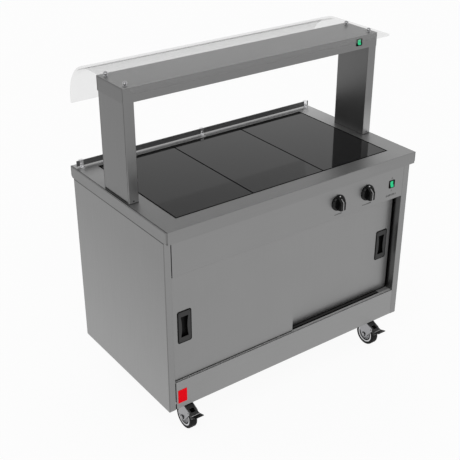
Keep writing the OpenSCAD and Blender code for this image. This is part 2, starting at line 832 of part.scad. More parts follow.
// Cupboard element: a sheathed rod bent into loops, held up by four clips
module cupboard_element() color([0.35, 0.33, 0.31]) {
    rows = [-3, -1, 1, 3];
    leg_down = 50;
    clip_half = 6;
    for (k = rows) translate([-element_run / 2, k * element_bend, element_z])
        rotate([0, 90, 0]) cylinder(h = element_run, r = element_r);
    for (k = [-2, 2]) translate([element_run / 2, k * element_bend, element_z]) rotate([0, 0, -90])
        rotate_extrude(angle = 180) translate([element_bend, 0]) circle(element_r);
    translate([-element_run / 2, 0, element_z]) rotate([0, 0, 90])
        rotate_extrude(angle = 180) translate([element_bend, 0]) circle(element_r);
    for (s = [-1, 1]) translate([-element_run / 2, s * element_half, element_z]) {
        sphere(element_r);
        translate([0, 0, -leg_down]) cylinder(h = leg_down, r = element_r);
    }
    for (s = [-1, 1]) {
        x = s * (element_run / 2 - element_clip_in);
        block([x - clip_half, -element_half - 2 * element_r, floor_z],
              [x + clip_half, element_half + 2 * element_r, element_z - element_r + 0.5]);
    }
}

// Baffle over the element: a slotted bridge that spreads the heat
module element_baffle() color([0.6, 0.6, 0.61]) {
    half_x = element_run / 2 + 45;
    half_y = element_half + 34;
    top_z = element_z + 18;
    foot_w = 14;
    slots = 9;
    pitch = 2 * half_x / (slots + 0.5);
    slot_len = 0.6 * pitch;
    slot_h = 8;
    difference() {
        along_x(-half_x, half_x) folded([
            [-half_y - foot_w, floor_z + half], [-half_y, floor_z + half], [-half_y, top_z],
            [half_y, top_z], [half_y, floor_z + half], [half_y + foot_w, floor_z + half]
        ]);
        for (i = [0:slots - 1])
            translate([(i - (slots - 1) / 2) * pitch, 0, 0])
                along_y(-half_y - sheet, half_y + sheet) translate([0, element_z])
                    round_rect(slot_len, slot_h, slot_h / 2 - 0.1);
    }
}

// Bush that clamps a control behind the panel, with its lock nut and spindle bore
module control_bush() {
    difference() {
        union() {
            cylinder(h = sheet + bush_nut_t + 0.5, r = bush_r);
            translate([0, 0, sheet]) cylinder(h = bush_nut_t, r = bush_nut_r, $fn = 6);
            translate([0, 0, -3]) cylinder(h = 3, r = 9);
        }
        translate([0, 0, -4]) cylinder(h = 12, r = spindle_r + running_play);
    }
}

// Thermostat of the cupboard, behind its knob
module thermostat() color([0.75, 0.73, 0.68])
    translate([heat_knob_x, panel_back_y, controls_z]) {
        rotate([90, 0, 0]) control_bush();
        block([-21, 3, -21], [21, 25, 21]);
        block([-15, 25, -12], [-9, 35, 12]);
        block([9, 25, -12], [15, 35, 12]);
        translate([0, 25, 0]) rotate([-90, 0, 0]) cylinder(h = 6, r = 12);
    }

// Energy regulator of the hot top, behind its knob
module energy_regulator() color([0.8, 0.78, 0.74])
    translate([top_knob_x, panel_back_y, controls_z]) {
        rotate([90, 0, 0]) control_bush();
        block([-17, 3, -23], [17, 33, 23]);
        for (z = [-16, -6, 4, 14]) block([-12, 33, z], [12, 41, z + 1.2]);
    }

// Size of a switch's housing behind its bezel
function housing_w(w) = w - 2 * snap_lip;
function housing_h(h) = h - 2 * snap_lip;

// Half the height of the rocker in a bezel
function rocker_half(h) = housing_h(h) / 2 - 2;

// Cut-out in the sheet that a switch snaps into
module switch_cut(w, h)
    square([housing_w(w) + 2 * snap_fit, housing_h(h) + 2 * snap_fit], center = true);

// One switch: bezel, housing and the pivot holes for its rocker
module switch_body(w, h) {
    win_w = w - 8;
    win_h = 2 * (rocker_half(h) + 1);
    stub = 1.7;
    difference() {
        union() {
            along_y(-bezel_t, 0) round_rect(w, h, 2);
            along_y(0, housing_dep) square([housing_w(w), housing_h(h)], center = true);
        }
        along_y(-bezel_t - 1, housing_dep - 12) square([win_w, win_h], center = true);
        translate([-win_w / 2 - stub, pivot_in, 0]) rotate([0, 90, 0])
            cylinder(h = win_w + 2 * stub, r = pivot_r + running_play);
    }
    for (z = [-7, 0, 7]) block([-3, housing_dep, z - 0.4], [3, housing_dep + 5, z + 0.4]);
}

// Both switches: one in the control panel and one in the canopy
module switch_bodies() color([0.1, 0.1, 0.1]) {
    translate([switch_x, front_y, controls_z]) switch_body(bezel_w, bezel_h);
    translate([gantry_switch_x, gantry_front, gantry_switch_z]) switch_body(bezel_w, gantry_bezel_h);
}

// Rocker with a shallow vee face and two pivot stubs, tipped to its rest end
module rocker(w, half_h) {
    win_w = w - 8;
    rotate([-rocker_swing / 2, 0, 0]) {
        along_x(-win_w / 2 + rocker_fit, win_w / 2 - rocker_fit)
            polygon([[4, -half_h + 3], [-4, -half_h], [-1.5, 0], [-4, half_h], [4, half_h - 3]]);
        rotate([0, 90, 0]) cylinder(h = win_w + 3, r = pivot_r, center = true);
    }
}

module panel_rocker() color([0.1, 0.62, 0.35])
    translate([switch_x, front_y + pivot_in, controls_z]) rocker(bezel_w, rocker_half(bezel_h));

module canopy_rocker() color([0.1, 0.62, 0.35])
    translate([gantry_switch_x, gantry_front + pivot_in, gantry_switch_z])
        rocker(bezel_w, rocker_half(gantry_bezel_h));

// Knob: coned skirt with finger flutes, a pointer bar and the spindle it turns
module knob() color([0.09, 0.09, 0.09]) {
    back = knob_stand;
    bar_root = 6.5;
    skirt_edge = 2.5;
    flute_up = 1.4;
    difference() {
        rotate([90, 0, 0]) {
            translate([0, 0, back]) cylinder(h = skirt_edge, r = knob_r);
            translate([0, 0, back + skirt_edge])
                cylinder(h = knob_skirt - skirt_edge, r1 = knob_r, r2 = knob_r - 4);
        }
        rotate([90, 0, 0]) translate([0, 0, back - 1]) cylinder(h = 5, r = bush_nut_r + 3);
        for (a = [30:30:330])
            rotate([0, a, 0]) translate([0, -back - flute_up, knob_r + 1.5]) rotate([90, 0, 0])
                cylinder(h = knob_skirt, r = 3.5);
    }
    along_x(-knob_bar / 2, knob_bar / 2) polygon([
        [-back - bar_root, -knob_r + 6.5], [-knob_dep, -knob_r + 9.5], [-knob_dep - back, -knob_r + 12],
        [-knob_dep - back, 8], [-knob_dep + 1, 11], [-back - knob_skirt, knob_r - 6],
        [-back - bar_root, knob_r - 6]
    ]);
    rotate([90, 0, 0]) translate([0, 0, -sheet - 2.8]) cylinder(h = 14, r = spindle_r);
}

module heat_knob() translate([heat_knob_x, front_y, controls_z]) knob();

module top_knob() translate([top_knob_x, front_y, controls_z]) knob();

// Supply terminal block on the roof of the cupboard
module terminal_block() color([0.86, 0.85, 0.8])
    translate([gland_x - 30, castor_y - 75, roof_under + sheet]) {
        half_len = 36;
        half_dep = 14;
        block_h = 22;
        way_pitch = 13;
        difference() {
            block([-half_len, -half_dep, 0], [half_len, half_dep, block_h]);
            for (i = [-2:2]) translate([i * way_pitch, 0, block_h - 10]) cylinder(h = 12, r = 4);
            for (i = [-2:2]) translate([i * way_pitch, -half_dep - 1, 8]) rotate([-90, 0, 0])
                cylinder(h = 8, r = 3);
        }
    }

// Cable gland under the rear rail
module cable_gland() color([0.12, 0.12, 0.12])
    translate([gland_x, castor_y, rail_web_z])
        difference() {
            union() {
                translate([0, 0, -8]) cylinder(h = 8, r = 14, $fn = 6);
                translate([0, 0, -8]) cylinder(h = rail_sheet + 16, r = 10);
                translate([0, 0, rail_sheet]) cylinder(h = 5, r = 14, $fn = 6);
                translate([0, 0, -20]) cylinder(h = 12, r1 = 9, r2 = 12.5);
            }
            translate([0, 0, -21]) cylinder(h = rail_sheet + 31, r = gland_bore_r);
        }

// One upright: a box section, its outer face seamed at both edges and cut short at the foot
module upright() {
    cut_in = 8;
    difference() {
        along_z(top_h + foot_t, canopy_under) round_rect(upright_w, upright_dep, outer_r);
        along_z(top_h, canopy_under + 1)
            round_rect(upright_w - 2 * sheet, upright_dep - 2 * sheet, bend_r);
        block([upright_w / 2 - 2 * sheet, -upright_dep / 2 + cut_in, top_h],
              [upright_w, upright_dep / 2 - cut_in, top_h + foot_gap]);
        for (s = [0, 1]) mirror([0, s, 0])
            block([upright_w / 2 - seam_dep, -upright_dep / 2 + seam_in, top_h],
                  [upright_w, -upright_dep / 2 + seam_in + seam_w, canopy_under + 1]);
    }
}

// Both gantry uprights, a right and a left hand
module uprights() color([0.54, 0.54, 0.54])
    for (s = [0, 1]) mirror([s, 0, 0])
        translate([upright_out - upright_w / 2, upright_y, 0]) upright();

// Feet: a plate on the worktop with a spigot inside each upright
module upright_feet() color([0.4, 0.4, 0.41])
    for (s = [-1, 1]) translate([s * (upright_out - upright_w / 2), upright_y, 0]) {
        fit = 0.4;
        spigot_h = 60;
        spigot_wall = 3;
        w = upright_w - 2 * sheet - 2 * fit;
        d = upright_dep - 2 * sheet - 2 * fit;
        along_z(top_h, top_h + foot_t) round_rect(upright_w, upright_dep, outer_r);
        difference() {
            along_z(top_h, top_h + spigot_h) round_rect(w, d, 1.5);
            along_z(top_h + foot_t, top_h + spigot_h + 1)
                round_rect(w - 2 * spigot_wall, d - 2 * spigot_wall, 1.2);
        }
    }

// Canopy: a shallow box, open below between its lips, closed over the uprights
module canopy() color([0.54, 0.54, 0.54]) {
    len_x = 2 * upright_out;
    bay_x = upright_out - upright_w - lamp_slot_end;
    difference() {
        translate([0, canopy_y, 0]) soft_top_box(len_x, canopy_dep, canopy_under, canopy_top, outer_r);
        translate([0, canopy_y, 0])
            soft_top_box(len_x - 2 * sheet, canopy_dep - 2 * sheet,
                         canopy_under + sheet, canopy_top - sheet, bend_r);
        block([-bay_x, canopy_y - canopy_dep / 2 + lamp_lip, canopy_under - 1],
              [bay_x, canopy_y + canopy_dep / 2 - lamp_lip, canopy_under + 2 * sheet]);
        for (x = [-stud_x, stud_x], y = stud_ys)
            translate([x, y, canopy_top - 2 * sheet]) cylinder(h = 3 * sheet, r = stud_r + 0.25);
        for (x = [-upright_out, upright_out])
            along_x(x - seam_dep, x + seam_dep) translate([canopy_y, 0])
                end_seam(canopy_dep, canopy_under, canopy_top);
        translate([gantry_switch_x, 0, gantry_switch_z])
            along_y(gantry_front - 1, gantry_front + sheet + 1) switch_cut(bezel_w, gantry_bezel_h);
    }
}

// Reflector over the lamps: a bright trough with sloping sides
module reflector() color([0.8, 0.8, 0.82]) {
    t = 1;
    lip_w = 10;
    lean = 26;
    lip_y = canopy_dep / 2 - lamp_lip;
    x = upright_out - upright_w - lamp_slot_end - 2;
    z0 = canopy_under + sheet;
    z1 = canopy_top - sheet - 6;
    right = [
        [lip_y - lean, z1], [lip_y + t / 2, z0 + t], [lip_y + lip_w, z0 + t],
        [lip_y + lip_w, z0], [lip_y, z0], [lip_y - lean - t / 2, z1 - t]
    ];
    along_x(-x, x) translate([canopy_y, 0])
        polygon(concat(right, [for (i = [5:-1:0]) [-right[i].x, right[i].y]]));
}

// Places of the lamps, one over each tile
function lamp_half() = tile_len / 2 - 22;

// Quartz lamp tubes
module lamps() color([0.9, 0.86, 0.78, 0.6])
    for (x = tile_xs()) translate([x, canopy_y, lamp_z]) rotate([0, 90, 0])
        cylinder(h = 2 * lamp_half(), r = lamp_r, center = true);

// Ceramic holders that carry the ends of each lamp from the reflector
module lamp_holders() color([0.9, 0.9, 0.87])
    for (x = tile_xs(), s = [-1, 1]) translate([x + s * (lamp_half() - 4), canopy_y, 0])
        difference() {
            block([-6, -9, lamp_z - 9], [6, 9, canopy_top - sheet - 7]);
            translate([-7, 0, lamp_z]) rotate([0, 90, 0]) cylinder(h = 14, r = lamp_r + running_play);
        }

// Glass screen: one sheet, flat over the canopy and bent down to the customer's side
module glass_screen() color([0.85, 0.92, 0.92, 0.35])
    difference() {
        along_x(-glass_len / 2, glass_len / 2) {
            translate([glass_front_y, glass_under]) square([bend_start - glass_front_y, glass_t]);
            translate([bend_start, bend_z]) intersection() {
                difference() {
                    circle(glass_bend + glass_t, $fn = 120);
                    circle(glass_bend, $fn = 120);
                }
                square(glass_bend + 2 * glass_t);
            }
            translate([bend_start + glass_bend, bend_z - glass_drop]) square([glass_t, glass_drop]);
        }
        for (x = [-stud_x, stud_x], y = stud_ys)
            translate([x, y, glass_under - 1]) cylinder(h = glass_t + 2, r = stud_r + 0.5);
    }

// Domed studs that clamp the glass, each with its pad and its nut
module glass_studs() color([0.82, 0.82, 0.83])
    for (x = [-stud_x, stud_x], y = stud_ys) translate([x, y, 0]) {
        dome_r = (stud_head_r * stud_head_r + stud_dome * stud_dome) / (2 * stud_dome);
        translate([0, 0, glass_top]) intersection() {
            translate([0, 0, stud_dome - dome_r]) sphere(dome_r);
            cylinder(h = stud_dome + 1, r = stud_head_r + 1);
        }
        translate([0, 0, canopy_top - sheet - 8])
            cylinder(h = glass_top - canopy_top + sheet + 9, r = stud_r);
        translate([0, 0, canopy_top]) cylinder(h = glass_pad, r = stud_head_r);
        translate([0, 0, canopy_top - sheet - 6]) cylinder(h = 6, r = 7.5, $fn = 6);
    }

// Low rail along the customer's edge of the worktop
module rear_rail() color([0.3, 0.3, 0.31])
    block([-body_x + rail_end, rail_y, top_h + rail_gap],
          [body_x - rail_end, rail_y + rail_t, top_h + rail_gap + rail_h]);

// Clips that hold the rail: foot, post, hook over the rail and clamp screw
module rear_clips() color([0.82, 0.82, 0.83]) {
    clip_w = 16;
    post_t = 4;
    play = 0.3;
    post_y = rail_y - play - post_t;
    hook_z = top_h + rail_gap + rail_h + play;
    for (x = [-1, 0, 1]) translate([x * (body_x - clip_in), 0, 0]) {
        block([-clip_w / 2, post_y - 12, top_h], [clip_w / 2, post_y + post_t, top_h + 3]);
        block([-clip_w / 2, post_y, top_h], [clip_w / 2, post_y + post_t, hook_z + 3]);
        block([-clip_w / 2, post_y, hook_z], [clip_w / 2, rail_y + rail_t + 3, hook_z + 3]);
        translate([0, post_y + 0.5, top_h + 13]) rotate([90, 0, 0]) cylinder(h = 3.5, r = 4);
        translate([0, post_y - 6, top_h + 2]) cylinder(h = 3, r = 3.5);
    }
}

// Castor mounting plates with their races, swivel pins and fixing studs
module castor_plates() color([0.7, 0.71, 0.73])
    for (sx = [-1, 1], sy = [-1, 1]) translate([sx * castor_x, sy * castor_y, 0]) {
        along_z(plate_z, rail_web_z)
            round_rect(2 * (bolt_dx + plate_edge), 2 * (bolt_dy + plate_edge), 6);
        translate([0, 0, race_z]) cylinder(h = plate_z - race_z, r = race_r);
        translate([0, 0, head_under - 6]) cylinder(h = race_z - head_under + 7, r = kingpin_r);
        translate([0, 0, head_under - turning_gap - 5]) cylinder(h = 5, r = 10, $fn = 6);
        for (dx = [-1, 1], dy = [-1, 1]) translate([dx * bolt_dx, dy * bolt_dy, 0]) {
            translate([0, 0, plate_z]) cylinder(h = plate_t + rail_sheet + 9, r = axle_r);
            translate([0, 0, rail_web_z + rail_sheet]) cylinder(h = 6.5, r = 7.5, $fn = 6);
        }
    }

// Side outline of one fork leg: a broad plate, drawn out to the brake's ear where there is one
module leg_section(brake) {
    axle = [-trail, wheel_r];
    neck = [-8, head_under - 12];
    ear = [pedal_y - trail, pedal_z];
    link(axle, axle_boss_r, neck, neck_r);
    translate([head_back, head_under - 14]) square([head_front - head_back, 17]);
    if (brake) {
        link(axle, axle_boss_r, ear, pedal_ear_r);
        link(ear, pedal_ear_r, neck, neck_r);
        polygon([axle, neck, ear]);
    }
}

// Swivel fork with its head, two legs and the axle bolt
module fork(sx, sy, brake) color([0.72, 0.73, 0.75])
    translate([sx * castor_x, sy * castor_y, 0]) {
        axle_z = wheel_r;
        difference() {
            union() {
                translate([0, 0, head_under]) cylinder(h = head_top - head_under, r = race_r + 2);
                block([-leg_out, head_back, head_under], [leg_out, head_front, head_under + fork_t]);
                along_x(-leg_out, -leg_in) leg_section(brake);
                along_x(leg_in, leg_out) leg_section(brake);
            }
            translate([0, 0, head_under - 1]) cylinder(h = 20, r = kingpin_r + running_play);
            translate([-leg_out - 1, -trail, axle_z]) rotate([0, 90, 0])
                cylinder(h = 2 * leg_out + 2, r = axle_r + running_play);
            if (brake) translate([-leg_out - 1, pedal_y - trail, pedal_z]) rotate([0, 90, 0])
                cylinder(h = 2 * leg_out + 2, r = pedal_pin_r + running_play);
        }
        translate([-leg_out, -trail, axle_z]) rotate([0, 90, 0]) {
            cylinder(h = 2 * leg_out, r = axle_r);
            translate([0, 0, -5]) cylinder(h = 5, r = 7.5, $fn = 6);
            translate([0, 0, 2 * leg_out]) cylinder(h = 5, r = 7.5, $fn = 6);
        }
    }

// Wheel centre: rim, dished web with a groove, and a boss on the axle
module hub(sx, sy) color([0.62, 0.63, 0.64])
    translate([sx * castor_x, sy * castor_y - trail, wheel_r]) rotate([0, 90, 0]) rotate_extrude() {
        bore = axle_r + running_play;
        boss = leg_in - fork_gap;
        rim = tyre_w / 2 - 1;
        polygon([
            [bore, -boss], [12, -boss], [14, -9], [26, -8], [28, -rim + 1], [30, -rim + 3], [32, -rim],
            [hub_r, -rim], [hub_r, rim], [32, rim], [30, rim - 3], [28, rim - 1], [26, 8], [14, 9],
            [12, boss], [bore, boss]
        ]);
    }

// Tyre with a crowned tread and rounded shoulders
module tyre(sx, sy) color([0.08, 0.08, 0.08])
    translate([sx * castor_x, sy * castor_y - trail, wheel_r]) rotate([0, 90, 0]) rotate_extrude() {
        shoulder = 4;
        inner = hub_r + 0.05;
        translate([inner, -tyre_w / 2]) square([wheel_r - shoulder - inner, tyre_w]);
        translate([inner, -tyre_w / 2 + shoulder]) square([wheel_r - inner, tyre_w - 2 * shoulder]);
        for (s = [-1, 1]) translate([wheel_r - shoulder, s * (tyre_w / 2 - shoulder)]) circle(shoulder);
    }

// Brake: a box between the fork's legs, with a wider toe plate, that turns on a pin in their ears
module pedal(sx) color([0.1, 0.1, 0.1])
    translate([sx * castor_x, -castor_y - trail, wheel_r]) {
        box_w = leg_in - turning_gap;
        toe_w = leg_out - 0.5;
        crown = 42;
        slope = 17;
        toe_y = -87;
        pin = [pedal_y, pedal_z - wheel_r];
        press = pin - [pedal_ear_r + 4, 0];
        difference() {
            union() {
                along_x(-box_w, box_w) polygon([
                    [-14, crown + 14], [-57, crown + 1], [-59, crown - 3], [-70, crown],
                    [-62, crown - 10], [-56, crown - 22], [-44, crown - 22], [-30, crown - 8],
                    [-14, crown + 9]
                ]);
                along_x(-toe_w, toe_w) polygon([
                    [press.x, crown - 2], [-62, crown - 2], [toe_y + 1, crown + 6], [toe_y, crown + 3],
                    [-63, crown - 9], [press.x - 4, crown - 13], [press.x, crown - 11]
                ]);
            }
            for (a = [0, -pedal_swing])
                translate([0, pin.x, pin.y]) rotate([a, 0, 0]) translate([-leg_out, -pin.x, -pin.y])
                    rotate([0, 90, 0])
                        cylinder(h = 2 * leg_out, r = wheel_r + (a == 0 ? brake_gap : turning_gap), $fn = 96);
            along_x(-10, 10) translate([pin.x, crown + 6.4]) rotate(slope) square([20, 7], center = true);
        }
        translate([-leg_out, pin.x, pin.y]) rotate([0, 90, 0]) cylinder(h = 2 * leg_out, r = pedal_pin_r);
    }

worktop();
hot_tiles();
tile_seal();
tile_heaters();
heater_tray();
side_panels();
back_panel();
chassis();
base_panel();
plinth();
control_panel();
compartment_roof();
cupboard_liner();
shelf();
shelf_supports();
door_tracks();
door_outer(left_door_x, front_door_y, left_pull_x);  // door_left_outer
door_inner(left_door_x, front_door_y);  // door_left_inner
pull_handle(left_pull_x, front_door_y);  // door_left_handle
door_glides(left_door_x, front_door_y);  // door_left_glides
door_outer(right_door_x, rear_door_y, right_pull_x);  // door_right_outer
door_inner(right_door_x, rear_door_y);  // door_right_inner
pull_handle(right_pull_x, rear_door_y);  // door_right_handle
door_glides(right_door_x, rear_door_y);  // door_right_glides
cupboard_element();
element_baffle();
thermostat();
energy_regulator();
switch_bodies();
panel_rocker();
canopy_rocker();
heat_knob();
top_knob();
terminal_block();
cable_gland();
uprights();
upright_feet();
canopy();
reflector();
lamps();
lamp_holders();
glass_screen();
glass_studs();
rear_rail();
rear_clips();
castor_plates();
fork(-1, -1, true);  // fork_fl
fork(1, -1, true);  // fork_fr
fork(-1, 1, false);  // fork_rl
fork(1, 1, false);  // fork_rr
hub(-1, -1);  // hub_fl
hub(1, -1);  // hub_fr
hub(-1, 1);  // hub_rl
hub(1, 1);  // hub_rr
tyre(-1, -1);  // tyre_fl
tyre(1, -1);  // tyre_fr
tyre(-1, 1);  // tyre_rl
tyre(1, 1);  // tyre_rr
pedal(-1);  // pedal_left
pedal(1);  // pedal_right
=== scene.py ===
import bmesh
import bpy
import math
from mathutils import Matrix, Vector


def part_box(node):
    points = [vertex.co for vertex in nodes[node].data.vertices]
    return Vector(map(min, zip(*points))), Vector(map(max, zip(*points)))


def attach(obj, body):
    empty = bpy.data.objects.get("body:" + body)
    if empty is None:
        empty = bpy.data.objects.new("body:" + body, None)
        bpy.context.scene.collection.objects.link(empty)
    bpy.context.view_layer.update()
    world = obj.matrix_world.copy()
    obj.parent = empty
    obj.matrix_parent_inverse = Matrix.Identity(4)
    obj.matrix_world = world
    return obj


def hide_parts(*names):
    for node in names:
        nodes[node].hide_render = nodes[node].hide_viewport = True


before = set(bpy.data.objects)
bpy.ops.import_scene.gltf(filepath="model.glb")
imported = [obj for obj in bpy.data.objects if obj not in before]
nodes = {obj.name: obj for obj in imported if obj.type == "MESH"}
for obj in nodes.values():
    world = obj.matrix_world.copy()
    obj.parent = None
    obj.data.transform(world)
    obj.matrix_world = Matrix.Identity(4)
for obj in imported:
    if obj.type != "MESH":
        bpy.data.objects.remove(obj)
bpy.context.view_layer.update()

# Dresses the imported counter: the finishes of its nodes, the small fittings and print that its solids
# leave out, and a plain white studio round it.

MM = 0.001


# Camera: the photograph's view
CAMERA_PLACE = Vector((-1.9339, -2.5528, 2.2868))
CAMERA_TARGET = Vector((-0.0674, 0.0125, 0.6035))
CAMERA_LENS = 70.67
CAMERA_SENSOR = 36
CAMERA_REACH = 60


def look_from(place, target):
    """Turn of a camera or lamp that looks from one point to another."""
    return (Vector(target) - Vector(place)).to_track_quat("-Z", "Y").to_euler()


def make_camera():
    data = bpy.data.cameras.new("camera")
    data.lens = CAMERA_LENS
    data.sensor_width = CAMERA_SENSOR
    data.clip_end = CAMERA_REACH
    camera = bpy.data.objects.new("camera", data)
    camera.location = CAMERA_PLACE
    camera.rotation_euler = look_from(CAMERA_PLACE, CAMERA_TARGET)
    bpy.context.scene.collection.objects.link(camera)
    bpy.context.scene.camera = camera


# How squarely a face has to look along an axis for its turned grain and its painted shade to start, and
# how much more for all of it
FACING_START = 0.5
FACING_OVER = 0.4

# How much a fine surface changes the roughness, down and up, and how strongly it stands out
ROUGH_CHANGE = 0.05
PIT_STRENGTH = 0.4

# Texture scales, in repeats for each metre
GRAIN_LONG = 6
GRAIN_FINE = 900
CLOUDS = 5
SPANGLE = 60
MOULD_CLOUDS = 14
PITS = 1400
HAZE = 9
DUST = 30
POLISH = 500
WEAR = (40, 300, 300)
RIBS = (60, 60, 700)
PRINT_EDGE = 800


# Node graphs of the materials
class Graph:
    """A material's node tree with short calls to add and join its nodes."""

    def __init__(self, name):
        self.material = bpy.data.materials.new(name)
        self.material.use_nodes = True
        self.tree = self.material.node_tree
        self.shader = self.tree.nodes["Principled BSDF"]
        self.output = self.tree.nodes["Material Output"]

    def add(self, kind, settings=None, **inputs):
        node = self.tree.nodes.new(kind)
        for key, value in (settings or {}).items():
            setattr(node, key, value)
        for key, value in inputs.items():
            self.join(value, node.inputs[key.replace("_", " ")])
        return node

    def join(self, value, socket):
        if isinstance(value, bpy.types.NodeSocket):
            self.tree.links.new(value, socket)
        else:
            socket.default_value = value

    def set(self, **inputs):
        for key, value in inputs.items():
            self.join(value, self.shader.inputs[key.replace("_", " ")])

    def place(self, scale):
        """The piece's own coordinates in metres, stretched by one scale or by one for each axis."""
        if isinstance(scale, int):
            scale = (scale, scale, scale)
        coords = self.add("ShaderNodeTexCoord")
        mapping = self.add("ShaderNodeMapping", Vector=coords.outputs["Object"], Scale=scale)
        return mapping.outputs["Vector"]

    def noise(self, scale, detail=3.0, roughness=0.5):
        node = self.add("ShaderNodeTexNoise", Vector=self.place(scale), Scale=1.0, Detail=detail,
                        Roughness=roughness)
        return node.outputs["Fac"]

    def split(self, output):
        """The X, Y and Z of one of the piece's texture coordinates."""
        coords = self.add("ShaderNodeTexCoord")
        return self.add("ShaderNodeSeparateXYZ", Vector=coords.outputs[output]).outputs

    def along(self, axis):
        """The share of the way along one side of the piece's box."""
        return self.split("Generated")[axis.upper()]

    def from_middle(self, axis):
        """How far a point lies from the middle of the piece's box, as a share of its side."""
        return self.size(self.joined("SUBTRACT", self.along(axis), 0.5))

    def facing(self, axis):
        """How squarely a face looks along one of the piece's axes, from 0 to 1."""
        size = self.size(self.split("Normal")[axis.upper()])
        return self.step(size, FACING_START, FACING_OVER)

    def on_fold(self):
        """How near a face is to halfway between facing along Y and along Z, from 0 to 1."""
        normal = self.split("Normal")
        both = self.joined("MULTIPLY", normal["Y"], normal["Z"])
        return self.joined("MULTIPLY", self.size(both), 2.0)

    def joined(self, operation, first, second):
        """Two values put through one operation of the math node."""
        node = self.add("ShaderNodeMath", {"operation": operation})
        self.join(first, node.inputs[0])
        self.join(second, node.inputs[1])
        return node.outputs[0]

    def size(self, value):
        """A value without its sign."""
        return self.joined("ABSOLUTE", value, 0.0)

    def ranged(self, value, low, high, start=0.3, end=0.7):
        """A value carried from start..end to low..high."""
        node = self.add("ShaderNodeMapRange", Value=value)
        node.inputs["From Min"].default_value = start
        node.inputs["From Max"].default_value = end
        node.inputs["To Min"].default_value = low
        node.inputs["To Max"].default_value = high
        return node.outputs["Result"]

    def step(self, value, start, over):
        """0 where a value is below start and 1 once it is a given amount over it."""
        return self.ranged(value, 0.0, 1.0, start, start + over)

    def blended(self, factor, first, second):
        """A value between two, by a factor."""
        node = self.add("ShaderNodeMix", {"data_type": "FLOAT"})
        for value, socket in ((factor, 0), (first, 2), (second, 3)):
            self.join(value, node.inputs[socket])
        return node.outputs[0]

    def between(self, factor, first, second):
        """A colour between two colour outputs or colours of four numbers, by a factor."""
        node = self.add("ShaderNodeMix", {"data_type": "RGBA"})
        for value, socket in ((factor, 0), (first, 6), (second, 7)):
            self.join(value, node.inputs[socket])
        return node.outputs[2]

    def mixed(self, factor, first, second):
        """A colour between two plain colours, by a factor."""
        return self.between(factor, (*first, 1), (*second, 1))

    def toned(self, color, value, low, high, start, end):
        """A colour output multiplied by a value carried from start..end to low..high."""
        node = self.add("ShaderNodeVectorMath", {"operation": "SCALE"})
        self.join(color, node.inputs[0])
        self.join(self.ranged(value, low, high, start, end), node.inputs["Scale"])
        return node.outputs["Vector"]

    def bump(self, height, distance, strength):
        node = self.add("ShaderNodeBump", Height=height, Distance=distance, Strength=strength)
        return node.outputs["Normal"]

    def pitted(self, rough, fine=PITS, height=0.00003):
        """Give the shader a fine pitted surface of a roughness."""
        pits = self.noise(fine, 2.0)
        self.set(Roughness=self.ranged(pits, rough - ROUGH_CHANGE, rough + ROUGH_CHANGE),
                 Normal=self.bump(pits, height, PIT_STRENGTH))


def grey(value):
    return value, value, value


def shade(color, factor):
    return tuple(min(1.0, c * factor) for c in color)


def grain_scale(axis):
    """Texture scale of a grain that runs along one axis."""
    scale = [GRAIN_FINE] * 3
    scale["xyz".index(axis)] = GRAIN_LONG
    return scale


# Satin sheet: the grain's depth and strength, the strength of its clouds, and where on a piece's box
# its painted shade and light change, as shares of a side
GRAIN_DEPTH = 0.00002
GRAIN_STRENGTH = 0.5
CLOUD = 0.03
END_SHADE_RAMP = (0.1, 0.9)
FOOT_LIGHT_RAMP = (0.0, 0.4)
REAR_LIGHT_RAMP = (0.6, 0.95)
RIGHT_LIGHT_RAMP = (0.75, 0.95)
SHADE_LINE_RAMP = 0.0005
TOP_SHADOW_TONE = 0.12


